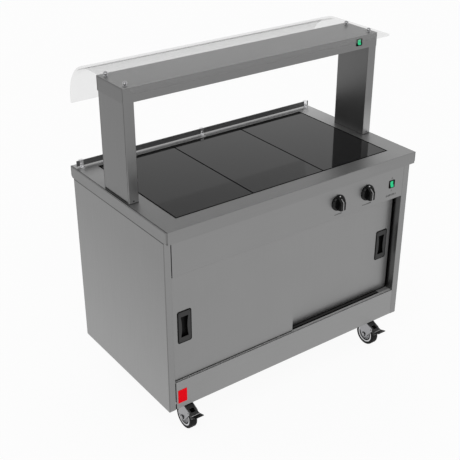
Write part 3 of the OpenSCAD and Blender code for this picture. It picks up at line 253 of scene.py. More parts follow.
def steel(name, axis, color, rough=0.34, facing_shades=(1.0, 1.0, 1.0), end_shade_along="z", end_face_shades=(1.0, 1.0),
          rear_painted_light=1.0, right_painted_light=1.0, foot_painted_light=1.0, fold_highlight=1.0, side_shade_line=None, top_shadow_line=None):
    """Satin sheet: fine grain along one axis, which turns on the end faces, and soft clouds.

    Faces across X, Y and Z each have a painted shade, lighter or darker by the way they face.
    On faces across X it also changes along one axis, from the first of end_face_shades to the second.
    Level faces get painted light towards the rear and the right, and front faces towards the foot.
    Folds between front and top have a painted highlight. Lines along the side edges, given as the
    place where they start and their tone, are painted shade, and a line along the top edge, given as
    the place where it starts, is painted shadow.
    """
    g = Graph(name)
    ends = g.facing("x")
    level = g.facing("z")
    turned = "y" if axis == "x" else axis
    fine = g.blended(ends, g.noise(grain_scale(axis), 2.0, 0.6), g.noise(grain_scale(turned), 2.0, 0.6))
    broad = g.noise(CLOUDS)
    # Painted shade: a lit or shaded copy of the colour for each way a face looks
    across_x, across_y, across_z = [
        g.mixed(broad, shade(color, (1 - CLOUD) * tone), shade(color, (1 + CLOUD) * tone))
        for tone in facing_shades]
    # Painted shade changing along the end faces
    first, second = [shade(color, facing_shades[0] * tone) for tone in end_face_shades]
    if first != second:
        across_x = g.mixed(g.ranged(g.along(end_shade_along), 0.0, 1.0, *END_SHADE_RAMP), first, second)
    # Painted light on front faces, growing towards the foot
    if foot_painted_light != 1.0:
        across_y = g.toned(across_y, g.along("z"), foot_painted_light, 1.0, *FOOT_LIGHT_RAMP)
    if side_shade_line:
        # The painted shade line is half as dark on the front as it is on the top
        start, tone = side_shade_line
        ramp = (start, start + SHADE_LINE_RAMP)
        across_y = g.toned(across_y, g.from_middle("x"), 1.0, 0.5 + 0.5 * tone, *ramp)
        across_z = g.toned(across_z, g.from_middle("x"), 1.0, tone, *ramp)
    # Painted light on level faces towards the rear and the right
    if rear_painted_light != 1.0:
        across_z = g.toned(across_z, g.along("y"), 1.0, rear_painted_light, *REAR_LIGHT_RAMP)
    if right_painted_light != 1.0:
        across_z = g.toned(across_z, g.along("x"), 1.0, right_painted_light, *RIGHT_LIGHT_RAMP)
    color_out = g.between(level, g.between(ends, across_y, across_x), across_z)
    # Painted shadow along the top edge
    if top_shadow_line:
        color_out = g.toned(color_out, g.along("z"), 1.0, TOP_SHADOW_TONE, top_shadow_line, top_shadow_line + SHADE_LINE_RAMP)
    # Painted highlight on the folds between front and top
    if fold_highlight != 1.0:
        color_out = g.toned(color_out, g.on_fold(), 1.0, fold_highlight, 0.0, 1.0)
    g.set(Base_Color=color_out, Metallic=1.0,
          Roughness=g.ranged(fine, rough - 0.05, rough + 0.06),
          Normal=g.bump(fine, GRAIN_DEPTH, GRAIN_STRENGTH))
    return g.material


def galvanised(name):
    """Zinc-coated sheet with its spangle."""
    g = Graph(name)
    cells = g.add("ShaderNodeTexVoronoi", Vector=g.place(SPANGLE), Scale=1.0)
    tone = g.ranged(cells.outputs["Distance"], 0.0, 1.0, 0.0, 0.8)
    g.set(Base_Color=g.mixed(tone, (0.36, 0.37, 0.38), (0.46, 0.47, 0.48)), Metallic=0.9,
          Roughness=g.ranged(tone, 0.42, 0.55, 0.0, 1.0))
    return g.material


def moulded(name, color, rough, fine=PITS, height=0.00003, cloud=0.08, gloss=0.5):
    """Moulded plastic, rubber or enamel with a fine pitted surface."""
    g = Graph(name)
    g.pitted(rough, fine, height)
    g.set(Base_Color=g.mixed(g.noise(MOULD_CLOUDS), shade(color, 1 - cloud), shade(color, 1 + cloud)),
          Specular_IOR_Level=gloss)
    return g.material


TILE_IOR = 1.36
QUARTZ_IOR = 1.45


def tile_glass(name):
    """Black ceramic glass: a deep gloss with a very slight haze."""
    g = Graph(name)
    haze = g.noise(HAZE, 4.0, 0.6)
    g.set(Base_Color=g.mixed(haze, (0.007, 0.007, 0.0072), (0.010, 0.010, 0.0103)),
          Roughness=g.ranged(haze, 0.045, 0.075), IOR=TILE_IOR)
    return g.material


def clear_glass(name, color, rough):
    """Clear quartz, with a trace of dust that dulls it."""
    g = Graph(name)
    dust = g.noise(DUST, 4.0, 0.6)
    g.set(Base_Color=g.mixed(dust, shade(color, 0.985), color), Transmission_Weight=1.0,
          IOR=QUARTZ_IOR, Roughness=g.ranged(dust, rough, rough + 0.02))
    return g.material


# The screen in millimetres: its box and the middle of its bend along Y and Z, and a radius between
# its two faces. The bend's inner face is seen as a rim where it turns away as far as the ramp says.
GLASS_SIZE = (466.5, 171.5)
BEND_AT = (312.5, 17.5)
BEND_MID_R = 150.0
RIM_RAMP = (0.75, 0.82)
SCREEN_ROUGH = 0.12
SCREEN_GLOSS = 0.1
SCREEN_DUST = (0.94, 1.06)


def sheet_glass(name, color, veil, rise, rim):
    """Thin clear sheet: a faint veil that thickens as it turns away, most on the bend's inner face."""
    g = Graph(name)
    turned = g.add("ShaderNodeLayerWeight", Blend=0.5).outputs["Facing"]
    dust = g.noise(DUST, 4.0, 0.6)
    coords = g.add("ShaderNodeTexCoord").outputs["Generated"]
    arm = g.add("ShaderNodeMapping", Vector=coords, Scale=(0, *GLASS_SIZE),
                Location=(0, -BEND_AT[0], -BEND_AT[1]))
    radius = g.add("ShaderNodeVectorMath", {"operation": "LENGTH"})
    g.join(arm.outputs["Vector"], radius.inputs[0])
    inner = g.joined("LESS_THAN", radius.outputs["Value"], BEND_MID_R)
    edge = g.joined("MULTIPLY", inner, g.ranged(turned, 0.0, rim, *RIM_RAMP))
    thick = g.joined("ADD", g.ranged(turned, veil, veil + rise, 0.5, 1.0), edge)
    g.set(Base_Color=(*color, 1), Roughness=SCREEN_ROUGH, Specular_IOR_Level=SCREEN_GLOSS,
          Alpha=g.joined("MULTIPLY", thick, g.ranged(dust, *SCREEN_DUST)))
    return g.material


def polished(name, color, rough):
    """Plated or bright metal with faint polishing marks."""
    g = Graph(name)
    marks = g.noise(POLISH, 2.0)
    g.set(Base_Color=(*color, 1), Metallic=1.0, Roughness=g.ranged(marks, rough, rough + 0.06),
          Normal=g.bump(marks, 0.00001, 0.3))
    return g.material


# The tracks' box: the shares of its depth between which the front door's slot lies, with the lip
# before it, and the share of its length from the middle where the slot ends
TRACK_SLOT = (0.17, 0.33)
TRACK_EDGE = 0.01
TRACK_END = 0.446


def track_coating_and_shade(name):
    """Dark coating of the tracks: painted shade, black in the front slot, light past its ends; painted
    light on the lip.
    """
    g = Graph(name)
    wear = g.noise(WEAR, 3.0, 0.6)
    behind_lip = g.step(g.along("y"), TRACK_SLOT[0], TRACK_EDGE)
    before_rear = g.ranged(g.along("y"), 1.0, 0.0, TRACK_SLOT[1] - TRACK_EDGE, TRACK_SLOT[1])
    # Painted shade: black in the front slot and dark behind it, lighter past the slot's ends
    dark = g.mixed(g.joined("MULTIPLY", behind_lip, before_rear), grey(0.045), grey(0.004))
    dark = g.between(g.step(g.from_middle("x"), TRACK_END, 0.001), dark, (*grey(0.22), 1))
    # Painted light on the front lip, with a worn tone
    g.set(Base_Color=g.between(behind_lip, g.mixed(wear, grey(0.4), grey(0.5)), dark),
          Roughness=g.ranged(wear, 0.45, 0.6), Specular_IOR_Level=0.1)
    return g.material


# The share of a rocker's width from its middle where its black sides start
LENS_HALF = 0.31


def lens_plastic(name):
    """Lit green lens between the black sides of a rocker."""
    g = Graph(name)
    green = g.mixed(g.noise(RIBS, 2.0, 0.4), (0.02, 0.62, 0.25), (0.04, 0.78, 0.35))
    side = g.step(g.from_middle("x"), LENS_HALF, 0.01)
    g.set(Base_Color=g.between(side, green, (*grey(0.004), 1)), Roughness=0.3, Specular_IOR_Level=0.15,
          Emission_Color=g.mixed(side, (0.02, 0.6, 0.25), grey(0.0)), Emission_Strength=0.15)
    return g.material


# The shares of a door handle's box where its rim's painted shade starts, from the middle, and its cup's,
# from the front
PULL_RIM_SHADE = (0.42, 0.465)
PULL_CUP_SHADE = 0.04


def pull_plastic(name):
    """Black moulding of a door handle: a grey face, with painted shade making its rim black and the cup
    behind it dark.
    """
    g = Graph(name)
    g.pitted(0.45)
    # Painted shade: black on the rim and dark in the cup
    rim = g.joined("MAXIMUM", g.step(g.from_middle("x"), PULL_RIM_SHADE[0], 0.01),
                   g.step(g.from_middle("z"), PULL_RIM_SHADE[1], 0.005))
    edge = g.joined("MAXIMUM", rim, g.step(g.along("y"), PULL_CUP_SHADE, 0.08))
    g.set(Base_Color=g.mixed(edge, grey(0.055), grey(0.005)), Specular_IOR_Level=0.08)
    return g.material


# The share of a pedal's length, from its toe, where the box starts
PEDAL_BOX = 0.3


def pedal_moulding(name):
    """Black moulding of a pedal: a grey box behind a blacker toe plate."""
    g = Graph(name)
    g.pitted(0.45)
    g.set(Base_Color=g.mixed(g.step(g.along("y"), PEDAL_BOX, 0.12), grey(0.008), grey(0.055)),
          Specular_IOR_Level=0.12)
    return g.material


def ink_and_highlight_paint(name, color):
    """Ink of screen print, and flat paint for painted highlights."""
    g = Graph(name)
    g.set(Base_Color=g.mixed(g.noise(PRINT_EDGE, 2.0), shade(color, 0.9), color), Roughness=0.6)
    return g.material


make_camera()

STEEL = grey(0.262)
MATERIALS = {
    # The steel finishes below carry painted light and shade: a shade for each way a face looks and along
    # end faces, painted light towards the rear, right and foot, a painted highlight on the canopy's
    # folds, and painted shade and shadow lines along edges
    "worktop_steel": steel("worktop_steel", "x", STEEL, 0.42, facing_shades=(0.86, 0.96, 1.12), rear_painted_light=1.55,
                           right_painted_light=1.25, side_shade_line=(0.4962, 0.3)),
    "panel_steel": steel("panel_steel", "x", STEEL),
    "plinth_steel": steel("plinth_steel", "x", STEEL, facing_shades=(1.0, 1.11, 2.5)),
    "side_steel": steel("side_steel", "z", STEEL, facing_shades=(1.0, 0.98, 1.0), end_face_shades=(1.09, 0.86),
                        side_shade_line=(0.4967, 0.45), top_shadow_line=0.9945),
    "door_steel": steel("door_steel", "z", STEEL, facing_shades=(1.0, 1.02, 1.0)),
    "canopy_steel": steel("canopy_steel", "x", STEEL, facing_shades=(0.6, 0.78, 1.42), fold_highlight=1.8),
    "upright_steel": steel("upright_steel", "z", STEEL, facing_shades=(0.74, 0.77, 1.0), end_shade_along="x",
                           end_face_shades=(0.9, 0.68), foot_painted_light=1.9),
    "inner_steel": steel("inner_stainless", "x", grey(0.30), 0.42),
    "galvanised": galvanised("galvanised_sheet"),
    "tile_glass": tile_glass("black_ceramic_glass"),
    # Black silicone for the seals and the bead, also painted shade on hub grooves, pedal recesses and
    # door gaps
    "seal": moulded("silicone_seal_and_shade", grey(0.003), 0.7, gloss=0.0),
    "heater_mat": moulded("silicone_heater_mat", (0.42, 0.15, 0.08), 0.6),
    "pull": pull_plastic("handle_moulding"),
    "track": track_coating_and_shade("track_coating_and_shade"),
    "black_plastic": moulded("black_moulding", grey(0.003), 0.42, gloss=0.08),
    "nylon": moulded("natural_nylon", (0.7, 0.7, 0.66), 0.5),
    "element": steel("element_sheath", "x", (0.12, 0.11, 0.10), 0.5),
    "control_body": moulded("phenolic_moulding", (0.62, 0.59, 0.5), 0.45),
    "green_lens": lens_plastic("green_rocker_lens"),
    "knob": moulded("knob_moulding", grey(0.004), 0.2, fine=1800, height=0.000004, gloss=0.22),
    "reflector": polished("bright_reflector", (0.8, 0.8, 0.82), 0.12),
    "quartz": clear_glass("quartz_tube", (0.95, 0.93, 0.9), 0.02),
    "ceramic": moulded("steatite", (0.8, 0.8, 0.76), 0.5),
    "glass": sheet_glass("screen_glass", grey(0.2), veil=0.095, rise=0.1, rim=0.33),
    "chrome": polished("chrome_plate", (0.78, 0.78, 0.79), 0.06),
    "stud_chrome": polished("stud_plate", (0.45, 0.45, 0.46), 0.1),
    # The rear rail's dark grey is painted shade
    "rail": moulded("rail_painted_shade", (0.08, 0.08, 0.082), 0.4),
    "dark_steel": steel("foot_steel", "x", grey(0.10), 0.4),
    "zinc": polished("zinc_plate", (0.33, 0.33, 0.34), 0.3),
    "pedal": pedal_moulding("pedal_moulding"),
    "hub": moulded("hub_moulding", (0.34, 0.34, 0.35), 0.4),
    "tyre": moulded("tyre_rubber", grey(0.012), 0.7, fine=900, height=0.00005, gloss=0.15),
    "ink": ink_and_highlight_paint("black_ink", grey(0.02)),
    # Grey paint for the painted highlight on the knobs' bars
    "grey_highlight_paint": ink_and_highlight_paint("grey_highlight_paint", grey(0.42)),
    # White ink for the knobs' dots, and a painted highlight on the pedals
    "white_ink_and_highlight": ink_and_highlight_paint("white_ink_and_highlight", grey(0.8)),
    "black_steel": polished("blacked_steel", grey(0.08), 0.3),
    "hub_ring": polished("hub_ring", (0.62, 0.62, 0.63), 0.2),
    "red_enamel": moulded("red_enamel", (0.95, 0.004, 0.012), 0.5, fine=700, height=0.00001, cloud=0.02,
                          gloss=0.02),
}

FINISHES = {
    "worktop_steel": ["worktop"],
    "panel_steel": ["control_panel", "back_panel"],
    "plinth_steel": ["plinth"],
    "side_steel": ["side_panels"],
    "door_steel": ["door_left_outer", "door_right_outer"],
    "canopy_steel": ["canopy"],
    "upright_steel": ["uprights"],
    "inner_steel": ["base_panel", "cupboard_liner", "shelf", "shelf_supports", "door_left_inner",
                    "door_right_inner", "element_baffle"],
    "galvanised": ["heater_tray", "chassis", "compartment_roof"],
    "tile_glass": ["hot_tiles"],
    "seal": ["tile_seal"],
    "heater_mat": ["tile_heaters"],
    "track": ["door_tracks"],
    "pull": ["door_left_handle", "door_right_handle"],
    "black_plastic": ["switch_bodies", "cable_gland"],
    "nylon": ["door_left_glides", "door_right_glides"],
    "element": ["cupboard_element"],
    "control_body": ["thermostat", "energy_regulator", "terminal_block"],
    "green_lens": ["panel_rocker", "canopy_rocker"],
    "knob": ["heat_knob", "top_knob"],
    "reflector": ["reflector"],
    "quartz": ["lamps"],
    "ceramic": ["lamp_holders"],
    "glass": ["glass_screen"],
    "chrome": ["rear_clips"],
    "stud_chrome": ["glass_studs"],
    "rail": ["rear_rail"],
    "dark_steel": ["upright_feet"],
    "zinc": ["castor_plates", "fork_fl", "fork_fr", "fork_rl", "fork_rr"],
    "pedal": ["pedal_left", "pedal_right"],
    "hub": ["hub_fl", "hub_fr", "hub_rl", "hub_rr"],
    "tyre": ["tyre_fl", "tyre_fr", "tyre_rl", "tyre_rr"],
}

for finish, names in FINISHES.items():
    for name in names:
        for material_slot in nodes[name].material_slots:
            material_slot.material = MATERIALS[finish]


# Pieces: meshes in millimetres, carried to metres when a piece is made
BEVEL_STEPS = 3
BEVEL_ANGLE = math.radians(30)
CORNER_STEPS = 6


def finish_piece(name, mesh, finish, body, bevel=0.0, smooth=35.0):
    """Make an object of a mesh drawn in millimetres, give it its finish and ride it on a body."""
    mesh.transform(Matrix.Scale(MM, 4))
    mesh.materials.append(MATERIALS[finish])
    piece = bpy.data.objects.new(name, mesh)
    bpy.context.scene.collection.objects.link(piece)
    if bevel:
        modifier = piece.modifiers.new("edges", "BEVEL")
        modifier.width = bevel * MM
        modifier.segments = BEVEL_STEPS
        modifier.limit_method = "ANGLE"
        modifier.angle_limit = BEVEL_ANGLE
        modifier.harden_normals = True
    for face in mesh.polygons:
        face.use_smooth = True
    mesh.set_sharp_from_angle(angle=math.radians(smooth))
    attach(piece, body)
    return piece


def mesh_of(build):
    """A mesh drawn by a function that fills a bmesh."""
    bm = bmesh.new()
    build(bm)
    bmesh.ops.recalc_face_normals(bm, faces=bm.faces)
    mesh = bpy.data.meshes.new(build.__name__)
    bm.to_mesh(mesh)
    bm.free()
    return mesh


def add_prism(bm, outline, start, end, frame_of=Matrix.Identity(4)):
    """Solid of a plane outline drawn from start to end along the frame's Z axis."""
    rings = [[bm.verts.new(frame_of @ Vector((x, y, z))) for x, y in outline] for z in (start, end)]
    count = len(outline)
    bm.faces.new(rings[0][::-1])
    bm.faces.new(rings[1])
    for i in range(count):
        j = (i + 1) % count
        bm.faces.new((rings[0][i], rings[0][j], rings[1][j], rings[1][i]))


def add_across(bm, outline, width, frame_of):
    """Solid of an outline of (Y, Z) pairs, drawn along the frame's X axis and centred on it."""
    left = frame_of @ Matrix.Translation((-width / 2, 0, 0)) @ Matrix.Rotation(math.radians(90), 4, "Y")
    add_prism(bm, [(-z, y) for y, z in outline], 0, width, left)


def add_lathe(bm, profile, frame_of, steps, radius=None):
    """Surface turned about the frame's Z axis from (radius, height) pairs. A radius of 0 closes it."""
    rings = []
    for r, h in profile:
        if r == 0:
            rings.append([bm.verts.new(frame_of @ Vector((0, 0, h)))])
            continue
        ring = []
        for i in range(steps):
            a = 2 * math.pi * i / steps
            q = radius(r, h, a) if radius else r
            ring.append(bm.verts.new(frame_of @ Vector((q * math.cos(a), q * math.sin(a), h))))
        rings.append(ring)
    for low, high in zip(rings, rings[1:]):
        for i in range(steps):
            j = (i + 1) % steps
            if len(low) == 1:
                bm.faces.new((low[0], high[j], high[i]))
            elif len(high) == 1:
                bm.faces.new((low[i], low[j], high[0]))
            else:
                bm.faces.new((low[i], low[j], high[j], high[i]))


def add_ring(bm, frame_of, inner, outer, low, high, steps):
    add_lathe(bm, [(inner, low), (outer, low), (outer, high), (inner, high), (inner, low)], frame_of,
              steps)


def rectangle(x0, y0, x1, y1):
    return [(x0, y0), (x1, y0), (x1, y1), (x0, y1)]


def round_rect_points(width, height, radius):
    points = []
    for cx, cy, start in ((1, 1, 0), (-1, 1, 90), (-1, -1, 180), (1, -1, 270)):
        for i in range(CORNER_STEPS + 1):
            a = math.radians(start + 90 * i / CORNER_STEPS)
            points.append((cx * (width / 2 - radius) + radius * math.cos(a),
                           cy * (height / 2 - radius) + radius * math.sin(a)))
    return points


def facing_front(x, y, z):
    """Frame whose Z axis points to -Y, out of the counter's front, with X along the front and Y up."""
    return Matrix.Translation((x, y, z)) @ Matrix.Rotation(math.radians(90), 4, "X")


def box_of(node):
    """The low and the high corner of a CAD node's box, in millimetres."""
    return [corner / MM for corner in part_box(node)]


def middle_of(node):
    low, high = box_of(node)
    return (low + high) / 2


PANEL_Y = box_of("control_panel")[0].y
PLINTH_Y = box_of("plinth")[0].y


# Knobs: a fluted skirt, a wide pointer bar with a raised grey line of painted highlight and a white dot
KNOB_R = 32.5
KNOB_SKIRT = 9.5
KNOB_STAND = 0.5
KNOB_DEPTH = 30.0
KNOB_BAR = 24.0
KNOB_BEVEL = 0.9
KNOB_SMOOTH = 40.0
BAR_HIGHLIGHT_W = 3.0
BAR_HIGHLIGHT_T = 0.35
BAR_HIGHLIGHT_UP = 0.2
BAR_HIGHLIGHT_SUNK = 1.0
BAR_HIGHLIGHT_END = 0.68
SKIRT_STEPS = 240
SKIRT_RIM = KNOB_STAND + 2.5
SKIRT_FRONT = KNOB_STAND + KNOB_SKIRT
FLUTES = 12
FLUTE_R = 3.5
FLUTE_PLACE = KNOB_R + 1.5
FLUTE_START = SKIRT_RIM + 0.5
DOT_PLACE = KNOB_R - 3.6
DOT_R = 2.5
DOT_STEPS = 24

# Profiles of the skirt and the dot as (radius, depth) pairs, and the side of the bar as pairs of the
# height over the knob's middle and the depth
SKIRT_PROFILE = [
    (0, KNOB_STAND), (KNOB_R - 0.6, KNOB_STAND), (KNOB_R, KNOB_STAND + 0.6), (KNOB_R, SKIRT_RIM - 0.4),
    (KNOB_R - 0.2, SKIRT_RIM + 0.3), (KNOB_R - 0.7, SKIRT_RIM + 0.6), (KNOB_R - 3.7, SKIRT_FRONT - 0.8),
    (KNOB_R - 4.1, SKIRT_FRONT - 0.15), (KNOB_R - 4.9, SKIRT_FRONT), (0, SKIRT_FRONT)]
DOT_PROFILE = [
    (0, SKIRT_FRONT - 3), (DOT_R, SKIRT_FRONT - 3), (DOT_R, SKIRT_FRONT - 0.4),
    (DOT_R - 0.6, SKIRT_FRONT + 0.3), (0, SKIRT_FRONT + 0.5)]
BAR_ROOT = KNOB_STAND + 6.5
BAR_SIDE = [
    (-KNOB_R + 6.5, BAR_ROOT), (-KNOB_R + 9.5, KNOB_DEPTH), (-KNOB_R + 12, KNOB_DEPTH + KNOB_STAND),
    (8, KNOB_DEPTH + KNOB_STAND), (11, KNOB_DEPTH - 1), (KNOB_R - 6, SKIRT_FRONT),
    (KNOB_R - 6, BAR_ROOT)]


def fluted(radius, height, angle):
    """Radius of the skirt at an angle, cut by finger flutes everywhere but at the dot."""
    if height < FLUTE_START:
        return radius
    step = 2 * math.pi / FLUTES
    top = math.pi / 2
    nearest = round((angle - top) / step)
    if nearest % FLUTES == 0:
        return radius
    off = (angle - top) - nearest * step
    reach = FLUTE_R ** 2 - (FLUTE_PLACE * math.sin(off)) ** 2
    if reach <= 0:
        return radius
    return min(radius, FLUTE_PLACE * math.cos(off) - math.sqrt(reach))


def make_knob(node):
    """Dress a knob, whose node and body have one name, and put the dressed knob in its place."""
    middle = middle_of(node)
    frame_of = facing_front(middle.x, PANEL_Y, middle.z)

    def skirt(bm):
        add_lathe(bm, SKIRT_PROFILE, frame_of, SKIRT_STEPS, fluted)

    def bar(bm):
        add_across(bm, BAR_SIDE, KNOB_BAR, frame_of)

    # A raised grey line along the bar's front and top: a painted highlight
    def index(bm):
        line = BAR_SIDE[1:-1]
        line[-1] = tuple((1 - BAR_HIGHLIGHT_END) * a + BAR_HIGHLIGHT_END * b for a, b in zip(line[-2], line[-1]))
        outer = [(up + BAR_HIGHLIGHT_UP, depth + BAR_HIGHLIGHT_T) for up, depth in line]
        inner = [(up - BAR_HIGHLIGHT_SUNK, depth - BAR_HIGHLIGHT_SUNK) for up, depth in line]
        add_across(bm, outer + inner[::-1], BAR_HIGHLIGHT_W, frame_of)

    def dot(bm):
        add_lathe(bm, DOT_PROFILE, frame_of @ Matrix.Translation((0, DOT_PLACE, 0)), DOT_STEPS)

    def finish(build, finish_name, bevel=0.0):
        return finish_piece("%s_%s" % (node, build.__name__), mesh_of(build), finish_name, node,
                            bevel, KNOB_SMOOTH)

    skirt_piece = finish(skirt, "knob")
    bar_piece = finish(bar, "knob", KNOB_BEVEL)
    finish(index, "grey_highlight_paint")
    finish(dot, "white_ink_and_highlight")
    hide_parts(node)
    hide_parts(node)


make_knob("heat_knob")
make_knob("top_knob")


# Print on the control panel: a rising scale under each knob, and words and two marks at the switch
PRINT_T = 0.12
PRINT_Z = 728.0
SCALE_TICKS = 10
TICK_HALF = 0.38
TICK_DOWN = 3.0
TICK_H = (2.5, 4.5)
HEAT_SCALE_W = 36
HEAT_SCALE_OFF = 1.5
TOP_SCALE_W = 47
WORDS_H = 7.6
WORDS_SIZE = 1.4 * WORDS_H
WORDS_BOLD = 0.45
MARK_ZS = (748.5, 800.5)
MARK_R = 3.6
MARK_RING = 1.4
MARK_BAR = 0.9
MARK_STEPS = 32


def make_scale(name, middle_x, width):
    """A row of ticks that grow from left to right: more heat."""
    frame_of = facing_front(middle_x, PANEL_Y, PRINT_Z)
    pitch = width / SCALE_TICKS
    shortest, tallest = TICK_H

    def ticks(bm):
        for i in range(SCALE_TICKS):
            x = (i - (SCALE_TICKS - 1) / 2) * pitch
            tall = shortest + (tallest - shortest) * i / (SCALE_TICKS - 1)
            corners = rectangle(x - TICK_HALF * pitch, -TICK_DOWN, x + TICK_HALF * pitch,
                                tall - TICK_DOWN)
            add_prism(bm, corners, 0.0, PRINT_T, frame_of)

    finish_piece(name, mesh_of(ticks), "ink", "cabinet")


def make_words(name, text, middle_x):
    """Plain words as thin raised ink."""
    curve = bpy.data.curves.new(name, "FONT")
    curve.body = text
    curve.align_x = "CENTER"
    curve.align_y = "CENTER"
    curve.size = WORDS_SIZE * MM
    curve.extrude = PRINT_T / 2 * MM
    curve.offset = WORDS_BOLD * MM
    curve.materials.append(MATERIALS["ink"])
    words = bpy.data.objects.new(name, curve)
    words.matrix_world = (Matrix.Translation((middle_x * MM, (PANEL_Y - PRINT_T / 2) * MM, PRINT_Z * MM))
                          @ Matrix.Rotation(math.radians(90), 4, "X"))
    bpy.context.scene.collection.objects.link(words)
    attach(words, "cabinet")


SWITCH_X = middle_of("panel_rocker").x
make_scale("heat_scale", middle_of("heat_knob").x + HEAT_SCALE_OFF, HEAT_SCALE_W)
make_scale("top_scale", middle_of("top_knob").x, TOP_SCALE_W)
make_words("switch_words", "0 OFF ON 1", SWITCH_X)


def switch_marks(bm):
    """A ring over the switch and a bar under it: off and on."""
    under, over = [facing_front(SWITCH_X, PANEL_Y, z) for z in MARK_ZS]
    add_ring(bm, over, MARK_R - MARK_RING, MARK_R, 0, PRINT_T, MARK_STEPS)
    add_prism(bm, rectangle(-MARK_BAR, -MARK_R, MARK_BAR, MARK_R), 0.0, PRINT_T, under)


finish_piece("switch_marks", mesh_of(switch_marks), "ink", "cabinet")


# Bead of silicone over the edges of the glass tiles
TILES = 3
BEAD_W = 5.5
BEAD_T = 0.15
BEAD_SUNK = 0.05


def tile_bead(bm):
    low, high = box_of("hot_tiles")
    pitch = (high.x - low.x) / TILES
    half = BEAD_W / 2

    def strip(x0, x1, y0, y1):
        add_prism(bm, rectangle(x0, y0, x1, y1), high.z - BEAD_SUNK, high.z + BEAD_T)

    for i in range(TILES + 1):
        x = low.x + pitch * i
        strip(x - half, x + half, low.y - half, high.y + half)
    for y in (low.y, high.y):
        strip(low.x - half, high.x + half, y - half, y + half)


finish_piece("tile_bead", mesh_of(tile_bead), "seal", "cabinet")


# Plain plate on the plinth
PLATE_X = -518.8
PLATE_Z = 196.3
PLATE_W = 38.5
PLATE_H = 57.5
PLATE_T = 0.9
PLATE_CORNER_R = 1.5
PLATE_BEVEL = 0.3


def plate(bm):
    add_prism(bm, round_rect_points(PLATE_W, PLATE_H, PLATE_CORNER_R), 0.0, PLATE_T,
              facing_front(PLATE_X, PLINTH_Y, PLATE_Z))


finish_piece("plinth_plate", mesh_of(plate), "red_enamel", "cabinet", PLATE_BEVEL)


# Socket screws of the door handles: a domed head with a six-sided socket
PULL_SCREW_X = 23.0
PULL_SCREW_Z = 60.0
PULL_SCREW_IN = 1.0
PULL_SCREW_R = 2.0
PULL_SOCKET_R = 0.45 * PULL_SCREW_R
PULL_SCREW_PROFILE = [
    (0, 0.2), (PULL_SOCKET_R, 0.2), (PULL_SOCKET_R, PULL_SCREW_R * 0.45),
    (PULL_SCREW_R * 0.62, PULL_SCREW_R * 0.5), (PULL_SCREW_R * 0.9, PULL_SCREW_R * 0.28),
    (PULL_SCREW_R, 0.0), (0, -0.4)]
SCREW_STEPS = 24


def six_sided(radius, height, angle):
    """Radius of the socket at an angle. The rest of the head is left round."""
    if radius > PULL_SOCKET_R + 0.01:
        return radius
    sector = math.radians(60)
    off = angle % sector - sector / 2
    return radius * math.cos(sector / 2) / math.cos(off)


def make_pull_screws(side):
    node = "door_%s_handle" % side
    middle = middle_of(node)
    seat_y = box_of(node)[0].y + PULL_SCREW_IN

    def screws(bm):
        for x in (-PULL_SCREW_X, PULL_SCREW_X):
            for z in (-PULL_SCREW_Z, PULL_SCREW_Z):
                add_lathe(bm, PULL_SCREW_PROFILE, facing_front(middle.x + x, seat_y, middle.z + z),
                          SCREW_STEPS, six_sided)

    finish_piece(node + "_screws", mesh_of(screws), "black_steel", "door_" + side)


for side in ("left", "right"):
    make_pull_screws(side)


# Black strip of painted shade round the right door's closing edge, where the doors leave a gap, a little
# shorter than the door
GAP_SHADE_W = 4.2
GAP_SHADE_T = 0.4
GAP_SHADE_SHORT = 1.0


def edge_gap_shade(bm):
    low, high = box_of("door_right_outer")
    outline = [(high.x - GAP_SHADE_W, low.y), (high.x - GAP_SHADE_W, low.y - GAP_SHADE_T),
               (high.x + GAP_SHADE_T, low.y - GAP_SHADE_T), (high.x + GAP_SHADE_T, high.y), (high.x, high.y),
               (high.x, low.y)]
    add_prism(bm, outline, low.z + GAP_SHADE_SHORT, high.z - GAP_SHADE_SHORT)


finish_piece("door_right_gap_shade", mesh_of(edge_gap_shade), "seal", "door_right")


# Wheels: a bright ring and a dark groove of painted shade on each side of a hub, and dark washers at the
# axle.
# Each has an inner and an outer radius and a distance from the wheel's middle.
RING_R = (33.2, 37.0)
RING_FACE = 14.0
GROOVE_SHADE_R = (27.8, 31.6)
GROOVE_SHADE_FACE = 12.9
WASHER_R = (7.6, 10.5)
WASHER_FACE = 20.0
RING_T = 0.3
RING_STEPS = 64


def make_wheel_rings(corner):
    at = Matrix.Translation(middle_of("hub_" + corner))
    sides = [at @ Matrix.Rotation(math.radians(turn), 4, "Y") for turn in (90, -90)]

    def add_pair(bm, radii, face):
        for side in sides:
            add_ring(bm, side, *radii, face, face + RING_T, RING_STEPS)

    def ring(bm):
        add_pair(bm, RING_R, RING_FACE)

    # Painted shade: a flat dark ring where the groove is
    def groove(bm):
        add_pair(bm, GROOVE_SHADE_R, GROOVE_SHADE_FACE)

    def washer(bm):
        add_pair(bm, WASHER_R, WASHER_FACE)

    finish_piece("hub_ring_" + corner, mesh_of(ring), "hub_ring", "wheel_" + corner)
    finish_piece("hub_groove_" + corner, mesh_of(groove), "seal", "wheel_" + corner)
    finish_piece("axle_washer_" + corner, mesh_of(washer), "black_plastic", "castor_" + corner)


for corner in ("fl", "fr", "rl", "rr"):
    make_wheel_rings(corner)


# Front screw of each upright
UPRIGHT_SCREW_UP = 9.2
UPRIGHT_SCREW_IN = 19.0
UPRIGHT_SCREW_PROFILE = [(0, 0.4), (2.8, 0.4), (3.4, 0.0), (0, -0.2)]


def upright_screws(bm):
    low, high = box_of("uprights")
    z = box_of("hot_tiles")[1].z + UPRIGHT_SCREW_UP
    for x in (low.x + UPRIGHT_SCREW_IN, high.x - UPRIGHT_SCREW_IN):
        add_lathe(bm, UPRIGHT_SCREW_PROFILE, facing_front(x, low.y, z), SCREW_STEPS)


finish_piece("upright_screws", mesh_of(upright_screws), "black_steel", "cabinet")


